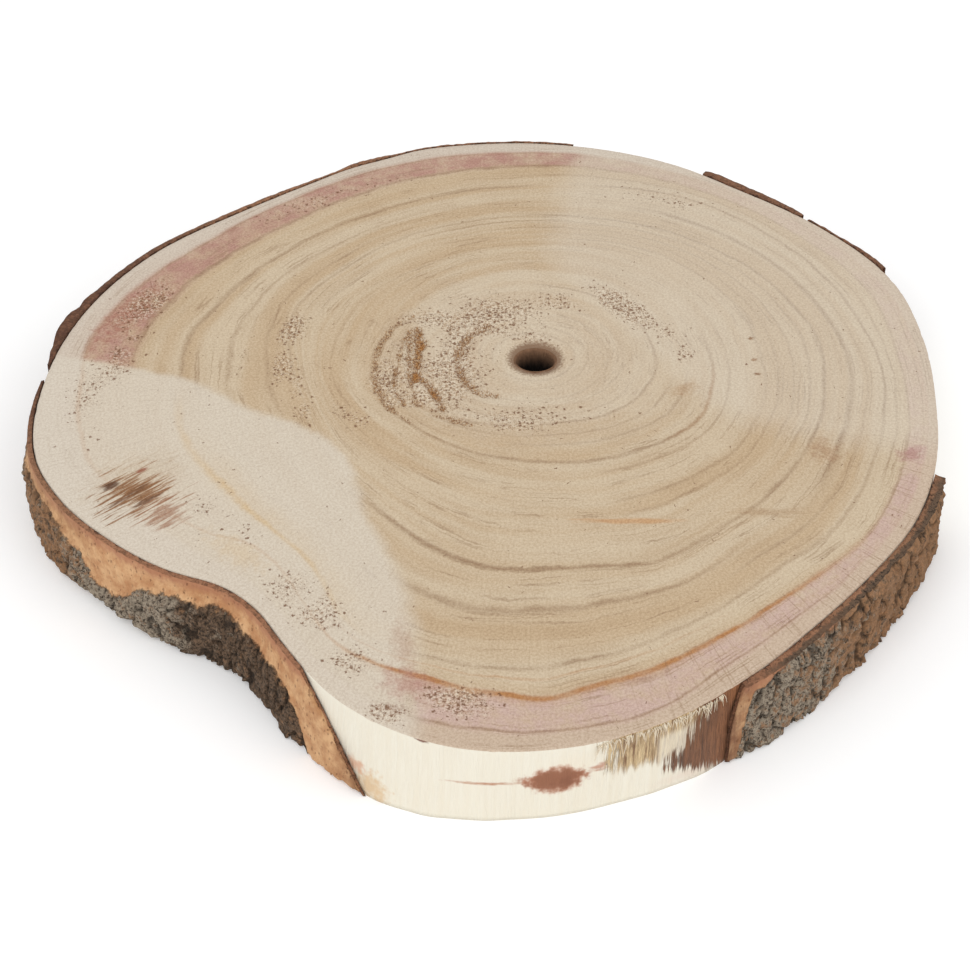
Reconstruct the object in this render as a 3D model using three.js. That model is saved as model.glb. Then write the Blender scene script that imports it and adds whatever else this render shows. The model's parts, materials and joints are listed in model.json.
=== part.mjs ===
// A rustic slice of a pale log, sawn across the grain: one thick disc of wood with a hollow pith,
// and the bark that is still on its edge, in five patches.
// Lengths are millimetres, bearings are degrees anticlockwise from +X as seen from above, and +Z is up.
// The origin is on the underside, below the middle of the slice.

import * as THREE from 'three';

// Driving dimensions of the wood.
const THICKNESS = 30;
const PITH = new THREE.Vector2(18.0, 21.8);
const PITH_RADIUS_X = 5.9;
const PITH_RADIUS_Y = 5.3;
const PITH_SIDES = 24;
const LIP_WIDTH = 1.5;
const LIP_DEPTH = 2.4;
const LIP_REACH = 12;
const EDGE_POINTS = 200;
const WALL_ROWS = 6;

// Driving dimensions of the bark.
const BARK_GAP = 0.3;
const BARK_STEP = 1.25;
const INNER_ROWS = 4;
const ROWS_PER_INNER_ROW = 3;
const RIM_DEPTH = 9;
const CRUST_BREAK = 1.6;
const FOOT_DEPTH = 5;
const LUMP = 0.35;
const CRUMBLE = 0.9;

// Edge of the wood round the pith: bearing and radius.
const WOOD_EDGE = [
  [4, 135.3],
  [20, 136.0],
  [36, 132.0],
  [52, 129.1],
  [66, 132.0],
  [84, 134.2],
  [100, 135.9],
  [108, 136.8],
  [114, 135.7],
  [120, 135.9],
  [130, 135.8],
  [142, 140.2],
  [156, 150.8],
  [170, 160.0],
  [184, 167.3],
  [197, 172.6],
  [206, 169.9],
  [214, 164.3],
  [222, 157.9],
  [229, 150.6],
  [235, 151.6],
  [241, 159.5],
  [249, 172.4],
  [256, 179.8],
  [263, 183.2],
  [272, 181.3],
  [282, 174.4],
  [292, 164.2],
  [302, 155.1],
  [313, 149.2],
  [325, 145.8],
  [336, 141.6],
  [350, 136.4],
];

// How far the wall stands out at the foot, beyond the upper rim: bearing and distance.
const FOOT_FLARE = [
  [236, 0],
  [245, 1.0],
  [250, 2.6],
  [254, 3.6],
  [258, 2.6],
  [263, 0.6],
  [268, -0.6],
  [277, -1.2],
  [282, -0.4],
  [287, 1.0],
  [293, 0.4],
  [300, 0],
];

// Each patch of bark starts and finishes at a bearing that may change with height: [height, bearing].
// Its layers are listed by bearing: thickness at the sawn rim, thickness of the smooth inner bark
// further down, extra thickness of the rough crust, height that the crust reaches up to, and the part
// of the thickness that is left at the foot.
const FRONT_LEFT_BARK = {
  name: 'bark_front_left',
  start: [[0, 185], [30, 184]],
  finish: [[0, 253.2], [11, 251.2], [21, 247.9], [30, 244.5]],
  layers: [
    [184, 0.9, 1.2, 0.6, 9, 0.9],
    [188, 1.3, 1.9, 1.1, 17, 1.0],
    [193, 1.6, 2.1, 1.2, 22, 1.0],
    [198, 1.7, 2.2, 1.2, 24, 0.9],
    [203, 1.7, 2.3, 1.6, 25, 0.8],
    [207, 1.7, 2.4, 1.9, 24, 0.6],
    [210.5, 1.8, 2.6, 1.6, 19, 0.5],
    [212.5, 1.8, 2.8, 0.5, 11, 0.4],
    [215.5, 1.8, 2.8, 1.6, 10, 0.35],
    [218, 1.8, 2.8, 2.0, 14, 0.3],
    [221, 1.8, 2.6, 2.8, 21, 0.5],
    [224, 1.8, 2.4, 3.0, 23, 0.8],
    [231, 1.7, 2.4, 3.3, 24, 1.0],
    [234, 1.7, 2.6, 3.8, 23, 1.0],
    [239, 1.6, 2.6, 2.3, 20.5, 1.0],
    [243, 1.6, 2.6, 2.2, 18, 1.0],
    [245, 1.5, 2.7, 0.5, 9, 1.0],
    [248, 1.4, 2.3, 0, 0, 1.0],
    [253.2, 1.2, 1.2, 0, 0, 1.0],
  ],
};

const BACK_LEFT_BARK = {
  name: 'bark_back_left',
  start: [[0, 84.5], [14, 83.5], [30, 82.6]],
  finish: [[0, 180], [30, 181.5]],
  layers: [
    [82.6, 0.8, 1.4, 0, 8, 0.9],
    [90, 1.0, 2.0, 1.2, 16, 0.9],
    [97, 0.8, 1.8, 2.0, 20, 0.8],
    [104, 0.8, 1.6, 0.8, 12, 0.7],
    [111, 0.8, 1.8, 0.6, 10, 0.8],
    [115, 2.1, 2.4, 2.2, 26, 1.0],
    [119, 2.0, 2.4, 2.6, 25, 1.0],
    [123, 1.0, 2.2, 1.0, 12, 0.8],
    [133, 1.8, 2.4, 2.4, 22, 0.9],
    [141, 2.1, 2.4, 2.8, 25, 1.0],
    [149, 2.0, 2.6, 1.0, 13, 0.8],
    [156, 2.3, 2.6, 2.6, 24, 0.9],
    [165, 2.6, 2.8, 2.4, 26, 1.0],
    [168.4, 3.7, 3.0, 1.6, 20, 1.0],
    [169.7, 3.0, 2.6, 0.8, 14, 0.9],
    [171.6, 4.7, 2.6, 1.2, 24, 0.9],
    [174.6, 4.4, 2.5, 1.2, 26, 0.9],
    [178, 2.5, 2.0, 0.8, 18, 0.8],
    [181.5, 0.9, 1.2, 0, 8, 0.8],
  ],
};

const BACK_RIGHT_LONG_BARK = {
  name: 'bark_back_right_long',
  start: [[0, 41.5], [18, 41], [30, 40.2]],
  finish: [[0, 58.5], [12, 60], [30, 60.4]],
  layers: [
    [40.2, 1.3, 1.8, 0.4, 12, 0.9],
    [43, 2.4, 2.4, 1.4, 20, 1.0],
    [50, 3.2, 2.6, 2.2, 26, 1.0],
    [55, 3.4, 2.6, 1.8, 24, 0.9],
    [58, 3.7, 2.4, 1.0, 18, 0.9],
    [60.4, 2.4, 2.0, 0.4, 12, 0.9],
  ],
};

const BACK_RIGHT_SHORT_BARK = {
  name: 'bark_back_right_short',
  start: [[0, 23.6], [30, 22.2]],
  finish: [[0, 38], [20, 39], [30, 39.4]],
  layers: [
    [22.2, 1.5, 1.8, 0.6, 18, 0.9],
    [24, 1.9, 2.0, 1.2, 23, 1.0],
    [28, 1.6, 2.0, 1.2, 22, 1.0],
    [33, 0.8, 1.8, 0.6, 14, 0.8],
    [37, 0.9, 1.8, 0.8, 18, 0.9],
    [39.4, 0.8, 1.4, 0, 8, 0.9],
  ],
};

const RIGHT_BARK = {
  name: 'bark_right',
  start: [[0, 288.8], [18, 289], [30, 290.4]],
  finish: [[0, 335.4], [16, 334.6], [30, 334.7]],
  layers: [
    [288.8, 1.9, 1.5, 0, 20, 0.9],
    [291, 2.7, 2.2, 0.6, 27, 0.9],
    [293.5, 3.2, 2.4, 1.5, 29, 1.0],
    [297, 3.4, 2.6, 2.3, 29, 1.0],
    [302, 3.6, 2.6, 2.9, 28, 1.0],
    [306, 3.4, 2.6, 2.0, 29, 1.0],
    [311, 3.4, 2.6, 2.4, 28, 1.0],
    [316, 3.1, 2.6, 1.5, 29, 1.0],
    [320, 3.1, 2.5, 1.4, 28, 0.9],
    [325, 3.3, 2.5, 1.3, 29, 0.9],
    [330, 3.7, 2.6, 1.7, 28, 0.7],
    [334.7, 3.6, 2.5, 0.7, 26, 0.9],
  ],
};

const BARK_PATCHES = [
  FRONT_LEFT_BARK,
  BACK_LEFT_BARK,
  BACK_RIGHT_LONG_BARK,
  BACK_RIGHT_SHORT_BARK,
  RIGHT_BARK,
];

const WOOD_FINISH = new THREE.MeshStandardMaterial({ color: 0xdccbb0, roughness: 0.85, metalness: 0 });
const BARK_FINISH = new THREE.MeshStandardMaterial({ color: 0x6b5546, roughness: 0.95, metalness: 0 });

/** Station of the wood's edge; an index below 0 or past the end goes on round the pith. */
function edgeStation(index) {
  const lap = Math.floor(index / WOOD_EDGE.length);
  const [bearing, radius] = WOOD_EDGE[index - lap * WOOD_EDGE.length];
  return [bearing + 360 * lap, radius];
}

/** Radius of the wood's edge: a smooth closed curve through its stations. */
function edgeRadius(bearing) {
  const turn = THREE.MathUtils.euclideanModulo(bearing, 360);
  const found = WOOD_EDGE.findIndex(([station]) => station > turn);
  const next = found < 0 ? WOOD_EDGE.length : found;
  const [bearing0, radius0] = edgeStation(next - 2);
  const [bearing1, radius1] = edgeStation(next - 1);
  const [bearing2, radius2] = edgeStation(next);
  const [bearing3, radius3] = edgeStation(next + 1);
  const span = bearing2 - bearing1;
  const t = (turn - bearing1) / span;
  const slope1 = ((radius2 - radius0) / (bearing2 - bearing0)) * span;
  const slope2 = ((radius3 - radius1) / (bearing3 - bearing1)) * span;
  const ease = t * t * (3 - 2 * t);
  const leave = t * (1 - t) * (1 - t);
  const arrive = t * t * (t - 1);
  return THREE.MathUtils.lerp(radius1, radius2, ease) + leave * slope1 + arrive * slope2;
}

/** Distance that the wall stands out beyond the upper rim. */
function wallFlare(bearing, height) {
  return between(FOOT_FLARE, 1, bearing) * (1 - height / THICKNESS);
}

/** Point on the wood's wall in plan. */
function wallPoint(bearing, height) {
  const angle = THREE.MathUtils.degToRad(bearing);
  const radius = edgeRadius(bearing) + wallFlare(bearing, height);
  return new THREE.Vector2(Math.cos(angle), Math.sin(angle)).multiplyScalar(radius).add(PITH);
}

/** Outward direction of the wood's wall in plan. */
function wallNormal(bearing, height) {
  const along = wallPoint(bearing + 0.5, height).sub(wallPoint(bearing - 0.5, height));
  return new THREE.Vector2(along.y, -along.x).normalize();
}

/** Value in a column of the stations, eased between the stations on both sides of a position. */
function between(stations, column, position) {
  const found = stations.findIndex((station) => station[0] > position);
  const next = found < 0 ? stations.length - 1 : Math.max(found, 1);
  const before = stations[next - 1];
  const after = stations[next];
  const share = THREE.MathUtils.smoothstep(position, before[0], after[0]);
  return THREE.MathUtils.lerp(before[column], after[column], share);
}

/** The disc of wood with its pith hollow, whose mouths are worn wider at both faces. */
function makeWood() {
  const edge = [];
  for (let index = 0; index < EDGE_POINTS; index += 1) {
    edge.push(wallPoint((360 * index) / EDGE_POINTS, THICKNESS));
  }
  const outline = new THREE.Shape(edge);
  const hollow = new THREE.Path();
  hollow.absellipse(PITH.x, PITH.y, PITH_RADIUS_X, PITH_RADIUS_Y, 0, 2 * Math.PI, true);
  outline.holes.push(hollow);
  const geometry = new THREE.ExtrudeGeometry(outline, {
    depth: THICKNESS,
    steps: WALL_ROWS,
    curveSegments: PITH_SIDES,
    bevelEnabled: false,
  });
  const positions = geometry.getAttribute('position');
  const point = new THREE.Vector2();
  for (let index = 0; index < positions.count; index += 1) {
    const height = positions.getZ(index);
    point.set(positions.getX(index), positions.getY(index)).sub(PITH);
    if (point.length() < LIP_REACH) {
      const depth = Math.min(height, THICKNESS - height);
      const flare = LIP_WIDTH * Math.exp(-depth / LIP_DEPTH);
      point.setLength(point.length() + flare);
    } else {
      const bearing = THREE.MathUtils.euclideanModulo(THREE.MathUtils.radToDeg(point.angle()), 360);
      point.setLength(point.length() + wallFlare(bearing, height));
    }
    point.add(PITH);
    positions.setXY(index, point.x, point.y);
  }
  const mesh = new THREE.Mesh(geometry, WOOD_FINISH);
  mesh.name = 'wood';
  return mesh;
}

/** Thickness of the bark at a bearing and height. */
function barkThickness(layers, bearing, height) {
  const rim = between(layers, 1, bearing);
  const inner = between(layers, 2, bearing);
  const crust = between(layers, 3, bearing);
  const crustTop = between(layers, 4, bearing);
  const foot = between(layers, 5, bearing);
  const depth = THREE.MathUtils.smoothstep(THICKNESS - height, 0, RIM_DEPTH);
  const covered = THREE.MathUtils.smoothstep(crustTop - height, -CRUST_BREAK, CRUST_BREAK);
  const wear = THREE.MathUtils.lerp(foot, 1, THREE.MathUtils.smoothstep(height, 0, FOOT_DEPTH));
  const lump = LUMP * Math.sin(1.9 * bearing + 0.35 * height) * Math.sin(0.5 * height + 0.7 * bearing);
  return (THREE.MathUtils.lerp(rim, inner, depth) + (crust + lump) * covered) * wear;
}

/** Height of the bark's crumbled lower edge above the underside. */
function barkFoot(bearing) {
  return CRUMBLE * (0.5 + 0.5 * Math.sin(1.3 * bearing) * Math.sin(0.37 * bearing + 1));
}

/** One patch of bark: a closed shell that follows the wood's wall with a narrow gap. */
function makeBark({ name, start, finish, layers }) {
  const columns = Math.round((finish[0][1] - start[0][1]) / BARK_STEP);
  const outerRows = INNER_ROWS * ROWS_PER_INNER_ROW;
  const perColumn = INNER_ROWS + 1 + outerRows + 1;
  const positions = [];
  const triangles = [];
  // A column holds the inner face's points going up, and then the outer face's.
  for (let column = 0; column <= columns; column += 1) {
    const bearingAt = (height) =>
      THREE.MathUtils.lerp(between(start, 1, height), between(finish, 1, height), column / columns);
    const foot = barkFoot(bearingAt(0));
    const addPoint = (share, thicknessAt) => {
      const height = THREE.MathUtils.lerp(foot, THICKNESS, share);
      const bearing = bearingAt(height);
      const offset = BARK_GAP + thicknessAt(bearing, height);
      const point = wallNormal(bearing, height).multiplyScalar(offset).add(wallPoint(bearing, height));
      positions.push(point.x, point.y, height);
    };
    for (let row = 0; row <= INNER_ROWS; row += 1) {
      addPoint(row / INNER_ROWS, () => 0);
    }
    for (let row = 0; row <= outerRows; row += 1) {
      addPoint(row / outerRows, (bearing, height) => barkThickness(layers, bearing, height));
    }
  }
  const inner = (column, row) => column * perColumn + row;
  const outer = (column, row) => column * perColumn + INNER_ROWS + 1 + row;
  const addQuad = (a, b, c, d) => triangles.push(a, b, c, a, c, d);
  for (let column = 0; column < columns; column += 1) {
    const next = column + 1;
    for (let row = 0; row < INNER_ROWS; row += 1) {
      addQuad(inner(column, row), inner(column, row + 1), inner(next, row + 1), inner(next, row));
    }
    for (let row = 0; row < outerRows; row += 1) {
      addQuad(outer(column, row), outer(next, row), outer(next, row + 1), outer(column, row + 1));
    }
    addQuad(inner(column, 0), inner(next, 0), outer(next, 0), outer(column, 0));
    addQuad(
      inner(column, INNER_ROWS),
      outer(column, outerRows),
      outer(next, outerRows),
      inner(next, INNER_ROWS),
    );
  }
  // The broken ends: each stretch of the inner face fans out to the outer face beside it.
  for (let row = 0; row < INNER_ROWS; row += 1) {
    const upper = (row + 1) * ROWS_PER_INNER_ROW;
    for (let step = row * ROWS_PER_INNER_ROW; step < upper; step += 1) {
      triangles.push(inner(0, row), outer(0, step), outer(0, step + 1));
      triangles.push(inner(columns, row), outer(columns, step + 1), outer(columns, step));
    }
    triangles.push(inner(0, row), outer(0, upper), inner(0, row + 1));
    triangles.push(inner(columns, row), inner(columns, row + 1), outer(columns, upper));
  }
  const geometry = new THREE.BufferGeometry();
  geometry.setAttribute('position', new THREE.Float32BufferAttribute(positions, 3));
  geometry.setIndex(triangles);
  const mesh = new THREE.Mesh(geometry, BARK_FINISH);
  mesh.name = name;
  return mesh;
}

const slice = new THREE.Group();
slice.add(makeWood());
for (const patch of BARK_PATCHES) {
  slice.add(makeBark(patch));
}

export default slice;
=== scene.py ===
"""A rustic slice of a pale log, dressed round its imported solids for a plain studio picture.

The sawn faces carry growth rings, a pink outer band, pores, torn hollows and saw burns. The bare
edge is smooth and cream-coloured, with a knot and a patch of brown torn fibres. Five patches of bark
sit on the edge, smooth and orange inside, rough and grey outside.
Lengths are in millimetres until a mesh is made, and bearings are degrees anticlockwise from +X
round the pith, as seen from above.
"""

import itertools
import json
import logging
import math
from dataclasses import dataclass, field
from enum import Enum

import bpy
import numpy as np
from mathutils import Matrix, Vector
from mathutils.bvhtree import BVHTree


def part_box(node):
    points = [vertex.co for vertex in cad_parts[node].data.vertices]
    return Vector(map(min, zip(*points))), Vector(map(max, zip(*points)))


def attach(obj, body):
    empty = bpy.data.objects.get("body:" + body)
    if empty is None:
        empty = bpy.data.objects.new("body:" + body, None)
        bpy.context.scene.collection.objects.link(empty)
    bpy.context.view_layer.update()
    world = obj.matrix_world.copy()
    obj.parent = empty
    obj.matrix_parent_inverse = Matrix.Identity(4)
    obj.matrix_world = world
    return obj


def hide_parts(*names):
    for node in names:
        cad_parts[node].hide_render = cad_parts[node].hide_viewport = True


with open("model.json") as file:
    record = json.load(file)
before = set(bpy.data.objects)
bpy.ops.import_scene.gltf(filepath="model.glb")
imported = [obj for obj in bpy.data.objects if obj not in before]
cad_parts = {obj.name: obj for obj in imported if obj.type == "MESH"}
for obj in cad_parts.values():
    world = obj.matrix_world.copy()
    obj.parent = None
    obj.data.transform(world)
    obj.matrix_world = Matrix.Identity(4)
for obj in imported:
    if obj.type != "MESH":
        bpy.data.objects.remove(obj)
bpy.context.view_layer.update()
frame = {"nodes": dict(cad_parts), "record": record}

MM = 0.001
GLOW = 1.06
FAR = 1e6
SHEEN = 0.25
MIDDLE = 15.0
BODY = "root"
LOG = logging.getLogger("wood_slice")

Socket = bpy.types.NodeSocket
Stations = tuple[tuple[float, float], ...]


class Slot(Enum):
    """The record's material slots."""

    WOOD = "wood"
    BARK = "bark"


class Section(Enum):
    """Stretches of the disc's skin, each with its own finish."""

    HOLLOW = 0
    SAWN = 1
    EDGE = 2


def tone(red: int, green: int, blue: int) -> tuple[float, float, float, float]:
    """Turns a colour, as it looks in this studio's light, into the linear values that a shader takes.

    Args:
        red: Red from 0 to 255.
        green: Green from 0 to 255.
        blue: Blue from 0 to 255.

    Returns:
        The linear colour, with full opacity.
    """
    shares = (value / 255 for value in (red, green, blue))
    linear = [(s / 12.92 if s <= 0.04045 else ((s + 0.055) / 1.055) ** 2.4) / GLOW for s in shares]
    return (linear[0], linear[1], linear[2], 1.0)


def smooth(values: np.ndarray, low: float, high: float) -> np.ndarray:
    """Eases from 0 at low to 1 at high.

    Args:
        values: Where to ease.
        low: Value that gives 0.
        high: Value that gives 1.

    Returns:
        The eased shares.
    """
    share = np.clip((values - low) / (high - low), 0, 1)
    return share * share * (3 - 2 * share)


def closed_curve(stations: Stations, bearings: np.ndarray) -> np.ndarray:
    """Smooth closed curve through stations, as a radius for each bearing.

    Args:
        stations: Bearing and radius pairs, in rising order.
        bearings: Bearings to read, in degrees.

    Returns:
        The radius at each bearing.
    """
    table = np.array(stations, float)
    knots = np.concatenate([table[-2:, 0] - 360, table[:, 0], table[:2, 0] + 360])
    radii = np.concatenate([table[-2:, 1], table[:, 1], table[:2, 1]])
    turn = np.mod(bearings, 360)
    after = np.clip(np.searchsorted(knots, turn, side="right"), 2, len(knots) - 2)
    before = after - 1
    span = knots[after] - knots[before]
    t = (turn - knots[before]) / span
    leave = (radii[after] - radii[before - 1]) / (knots[after] - knots[before - 1]) * span
    arrive = (radii[after + 1] - radii[before]) / (knots[after + 1] - knots[before]) * span
    ease = t * t * (3 - 2 * t)
    bend = t * (1 - t) * ((1 - t) * leave - t * arrive)
    return radii[before] + (radii[after] - radii[before]) * ease + bend


class Grain:
    """Smooth seeded noise in space, from -1 to 1."""

    SIDE = 48

    def __init__(self, seed: int) -> None:
        """Draws the lattice.

        Args:
            seed: Seed of the draw.
        """
        draw = np.random.default_rng(seed)
        self.lattice = draw.random((self.SIDE,) * 3) * 2 - 1

    def at(self, places: np.ndarray, size: float | tuple[float, float, float]) -> np.ndarray:
        """Reads the noise.

        Args:
            places: Points, one to a row.
            size: Width of one swell, the same or one for each axis.

        Returns:
            A value for each point.
        """
        scaled = places / np.array(size, float)
        cell = np.floor(scaled).astype(int)
        share = scaled - cell
        share = share * share * (3 - 2 * share)
        total = np.zeros(len(places))
        for corner in itertools.product((0, 1), repeat=3):
            index = (cell + corner) % self.SIDE
            weight = np.where(corner, share, 1 - share).prod(axis=1)
            total += weight * self.lattice[index[:, 0], index[:, 1], index[:, 2]]
        return total

    def rough(self, places: np.ndarray, size: float, octaves: int) -> np.ndarray:
        """Adds finer and weaker copies of the noise.

        Args:
            places: Points, one to a row.
            size: Width of the widest swell.
            octaves: Number of copies.

        Returns:
            A value for each point, mostly from -1 to 1.
        """
        total = np.zeros(len(places))
        for octave in range(octaves):
            total += self.at(places + 7.3 * octave, size / 2**octave) / 2**octave
        return total / 1.6


class Wiring:
    """A node tree with short ways to add what this object's finishes need."""

    def __init__(self, tree: bpy.types.NodeTree) -> None:
        """Starts on a tree.

        Args:
            tree: The tree to add nodes to.
        """
        self.tree = tree
        self.kept = {}

    def add(self, kind: str, values: dict | None = None, **options) -> bpy.types.Node:
        """Adds a node.

        Args:
            kind: The node's type name, without its prefix ShaderNode.
            values: Values or sockets for its inputs, by name or index.
            **options: Properties to set on it.

        Returns:
            The node.
        """
        node = self.tree.nodes.new("ShaderNode" + kind)
        for name, option in options.items():
            setattr(node, name, option)
        for name, value in (values or {}).items():
            self.put(node.inputs[name], value)
        return node

    def put(self, target: Socket, value: object) -> None:
        """Links a socket to an input, or sets the input's value.

        Args:
            target: The input.
            value: A socket or a plain value.
        """
        if isinstance(value, bpy.types.NodeSocket):
            self.tree.links.new(value, target)
        else:
            target.default_value = value

    def math(self, operation: str, *values: Socket | float, clamp: bool = False) -> Socket:
        """Works out a number.

        Args:
            operation: The Math node's operation.
            *values: Its inputs.
            clamp: Whether the result stays from 0 to 1.

        Returns:
            The result.
        """
        return self.add("Math", dict(enumerate(values)), operation=operation, use_clamp=clamp).outputs[0]

    def times(self, *values: Socket | float, clamp: bool = False) -> Socket:
        """Multiplies two numbers."""
        return self.math("MULTIPLY", *values, clamp=clamp)

    def times_plus(self, *values: Socket | float, clamp: bool = False) -> Socket:
        """Multiplies the first two of three numbers, and adds the third."""
        return self.math("MULTIPLY_ADD", *values, clamp=clamp)

    def vector(self, operation: str, *values: Socket | tuple) -> bpy.types.Node:
        """Works out a vector.

        Args:
            operation: The Vector Math node's operation.
            *values: Its inputs.

        Returns:
            The node.
        """
        return self.add("VectorMath", dict(enumerate(values)), operation=operation)

    def scale(self, vector: Socket, factors: tuple[float, float, float]) -> Socket:
        """Multiplies a vector by a factor for each axis."""
        return self.vector("MULTIPLY", vector, factors).outputs[0]

    def ease(self, value: Socket, low: Socket | float, high: Socket | float) -> Socket:
        """Eases from 0 at low to 1 at high.

        Args:
            value: What to read.
            low: Value that gives 0.
            high: Value that gives 1.

        Returns:
            The share from 0 to 1.
        """
        values = {"Value": value, "From Min": low, "From Max": high}
        return self.add("MapRange", values, interpolation_type="SMOOTHSTEP").outputs[0]

    def noise(
        self, vector: Socket, scale: float = 1.0, detail: float = 2.0, rough: float = 0.5, flat: bool = False
    ) -> Socket:
        """Soft noise from 0 to 1.

        Args:
            vector: Where to read it.
            scale: Swells to a unit.
            detail: Number of finer copies.
            rough: Strength of the finer copies.
            flat: Whether it ignores the third axis.

        Returns:
            The value.
        """
        values = {"Vector": vector, "Scale": scale, "Detail": detail, "Roughness": rough}
        return self.add("TexNoise", values, noise_dimensions="2D" if flat else "3D").outputs["Fac"]

    def woven_noise(self, place: Socket, turn: float, weave: tuple[float, float, float]) -> Socket:
        """Noise drawn out along a turned axis, made once for each turn and weave.

        Args:
            place: Place on the face.
            turn: Degrees that the axis is turned.
            weave: Fineness along each axis.

        Returns:
            The value.
        """
        key = (place.node.name, turn, weave)
        if key not in self.kept:
            angle = {"Vector": place, "Angle": math.radians(-turn)}
            turned = self.add("VectorRotate", angle, rotation_type="Z_AXIS").outputs[0]
            self.kept[key] = self.noise(self.scale(turned, weave), 1.0, 2.0, 0.6, flat=True)
        return self.kept[key]

    def thread(self, value: Socket, middle: Socket | float, half: Socket | float) -> Socket:
        """Peaks at 1 where a value passes its middle.

        Args:
            value: What to read.
            middle: Value that gives 1.
            half: How far from the middle it has fallen to 0.

        Returns:
            The share from 0 to 1.
        """
        away = self.math("ABSOLUTE", self.math("SUBTRACT", value, middle))
        return self.math("SUBTRACT", 1.0, self.ease(away, 0.0, half))

    def mix(self, share: Socket | float, first: object, second: object, blend: str = "MIX") -> Socket:
        """Mixes two colours.

        Args:
            share: Share of the second colour.
            first: The first colour.
            second: The second colour.
            blend: How the second is laid over the first.

        Returns:
            The mixed colour.
        """
        node = self.add("Mix", {0: share, 6: first, 7: second}, data_type="RGBA", blend_type=blend)
        node.clamp_factor = True
        return node.outputs[2]

    def wash(self, colour: Socket, share: Socket, strength: float, tint: object) -> Socket:
        """Lays a tint over a colour by a share, weakened by a strength."""
        return self.mix(self.times(share, strength), colour, tint)

    def attribute(self, name: str) -> Socket:
        """Reads a value that the mesh holds."""
        return self.add("Attribute", attribute_name=name).outputs["Fac"]

    def place(self) -> Socket:
        """Place on the object, in millimetres."""
        return self.scale(self.add("TexCoord").outputs["Object"], (1 / MM, 1 / MM, 1 / MM))


class Effect:
    """A shader node group with named inputs and outputs, built once."""

    name = ""
    inputs: tuple[tuple[str, str, object], ...] = ()
    outputs: tuple[tuple[str, str], ...] = ()

    def tree(self) -> bpy.types.NodeTree:
        """Builds the group at its first use.

        Returns:
            The group's tree.
        """
        if self.name in bpy.data.node_groups:
            return bpy.data.node_groups[self.name]
        group = bpy.data.node_groups.new(self.name, "ShaderNodeTree")
        for label, kind, value in self.inputs:
            socket = group.interface.new_socket(label, in_out="INPUT", socket_type="NodeSocket" + kind)
            socket.default_value = value
        for label, kind in self.outputs:
            group.interface.new_socket(label, in_out="OUTPUT", socket_type="NodeSocket" + kind)
        start = group.nodes.new("NodeGroupInput")
        finish = group.nodes.new("NodeGroupOutput")
        results = self.build(Wiring(group), start.outputs)
        for label, value in results.items():
            group.links.new(value, finish.inputs[label])
        return group

    def build(self, wiring: Wiring, given: bpy.types.NodeOutputs) -> dict[str, Socket]:
        """Wires the group.

        Args:
            wiring: The group's tree.
            given: The group's inputs.

        Returns:
            A socket for each output.
        """
        raise NotImplementedError

    def place(self, wiring: Wiring, **values: object) -> bpy.types.NodeOutputs:
        """Places the group in a tree.

        Args:
            wiring: The tree to place it in.
            **values: Values or sockets for its inputs, with _ for a space.

        Returns:
            Its outputs.
        """
        node = wiring.add("Group", node_tree=self.tree())
        for label, value in values.items():
            wiring.put(node.inputs[label.replace("_", " ")], value)
        return node.outputs


class Spot(Effect):
    """A soft oval spot with a ragged edge."""

    name = "oval_spot"
    inputs = (
        ("Place", "Vector", (0, 0, 0)),
        ("Centre", "Vector", (0, 0, 0)),
        ("Turn", "Float", 0.0),
        ("Reach", "Vector", (1, 1, 1)),
        ("Softness", "Float", 0.5),
        ("Ragged", "Float", 0.2),
    )
    outputs = (("Mask", "Float"),)

    def build(self, wiring: Wiring, given: bpy.types.NodeOutputs) -> dict[str, Socket]:
        """Wires the group.

        Args:
            wiring: The group's tree.
            given: The group's inputs.

        Returns:
            The mask, 1 inside the spot.
        """
        turned = wiring.add(
            "VectorRotate",
            {"Vector": given["Place"], "Center": given["Centre"], "Angle": given["Turn"]},
            rotation_type="Z_AXIS",
        ).outputs[0]
        offset = wiring.vector("SUBTRACT", turned, given["Centre"]).outputs[0]
        share = wiring.vector("DIVIDE", offset, given["Reach"]).outputs[0]
        distance = wiring.vector("LENGTH", share).outputs["Value"]
        edge = wiring.math("ADD", distance, given["Ragged"])
        low = wiring.math("SUBTRACT", 1.0, given["Softness"])
        return {"Mask": wiring.ease(edge, 1.0, low)}


class Fibres(Effect):
    """Fine streaks along one direction, as a value and as a height."""

    name = "fibres"
    inputs = (
        ("Place", "Vector", (0, 0, 0)),
        ("Across", "Float", 1.5),
        ("Along", "Float", 0.06),
    )
    outputs = (("Value", "Float"), ("Height", "Float"))

    def build(self, wiring: Wiring, given: bpy.types.NodeOutputs) -> dict[str, Socket]:
        """Wires the group: the streaks run along Z.

        Args:
            wiring: The group's tree.
            given: The group's inputs.

        Returns:
            The value and the height, both from 0 to 1.
        """
        stretch = wiring.add(
            "CombineXYZ", {0: given["Across"], 1: given["Across"], 2: given["Along"]}
        ).outputs[0]
        where = wiring.vector("MULTIPLY", given["Place"], stretch).outputs[0]
        broad = wiring.noise(where, 0.35, 2.0, 0.5)
        fine = wiring.noise(where, 1.0, 3.0, 0.6)
        value = wiring.math("ADD", wiring.times(broad, 0.45), wiring.times(fine, 0.55))
        return {"Value": wiring.ease(value, 0.3, 0.7), "Height": wiring.ease(fine, 0.3, 0.7)}


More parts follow.
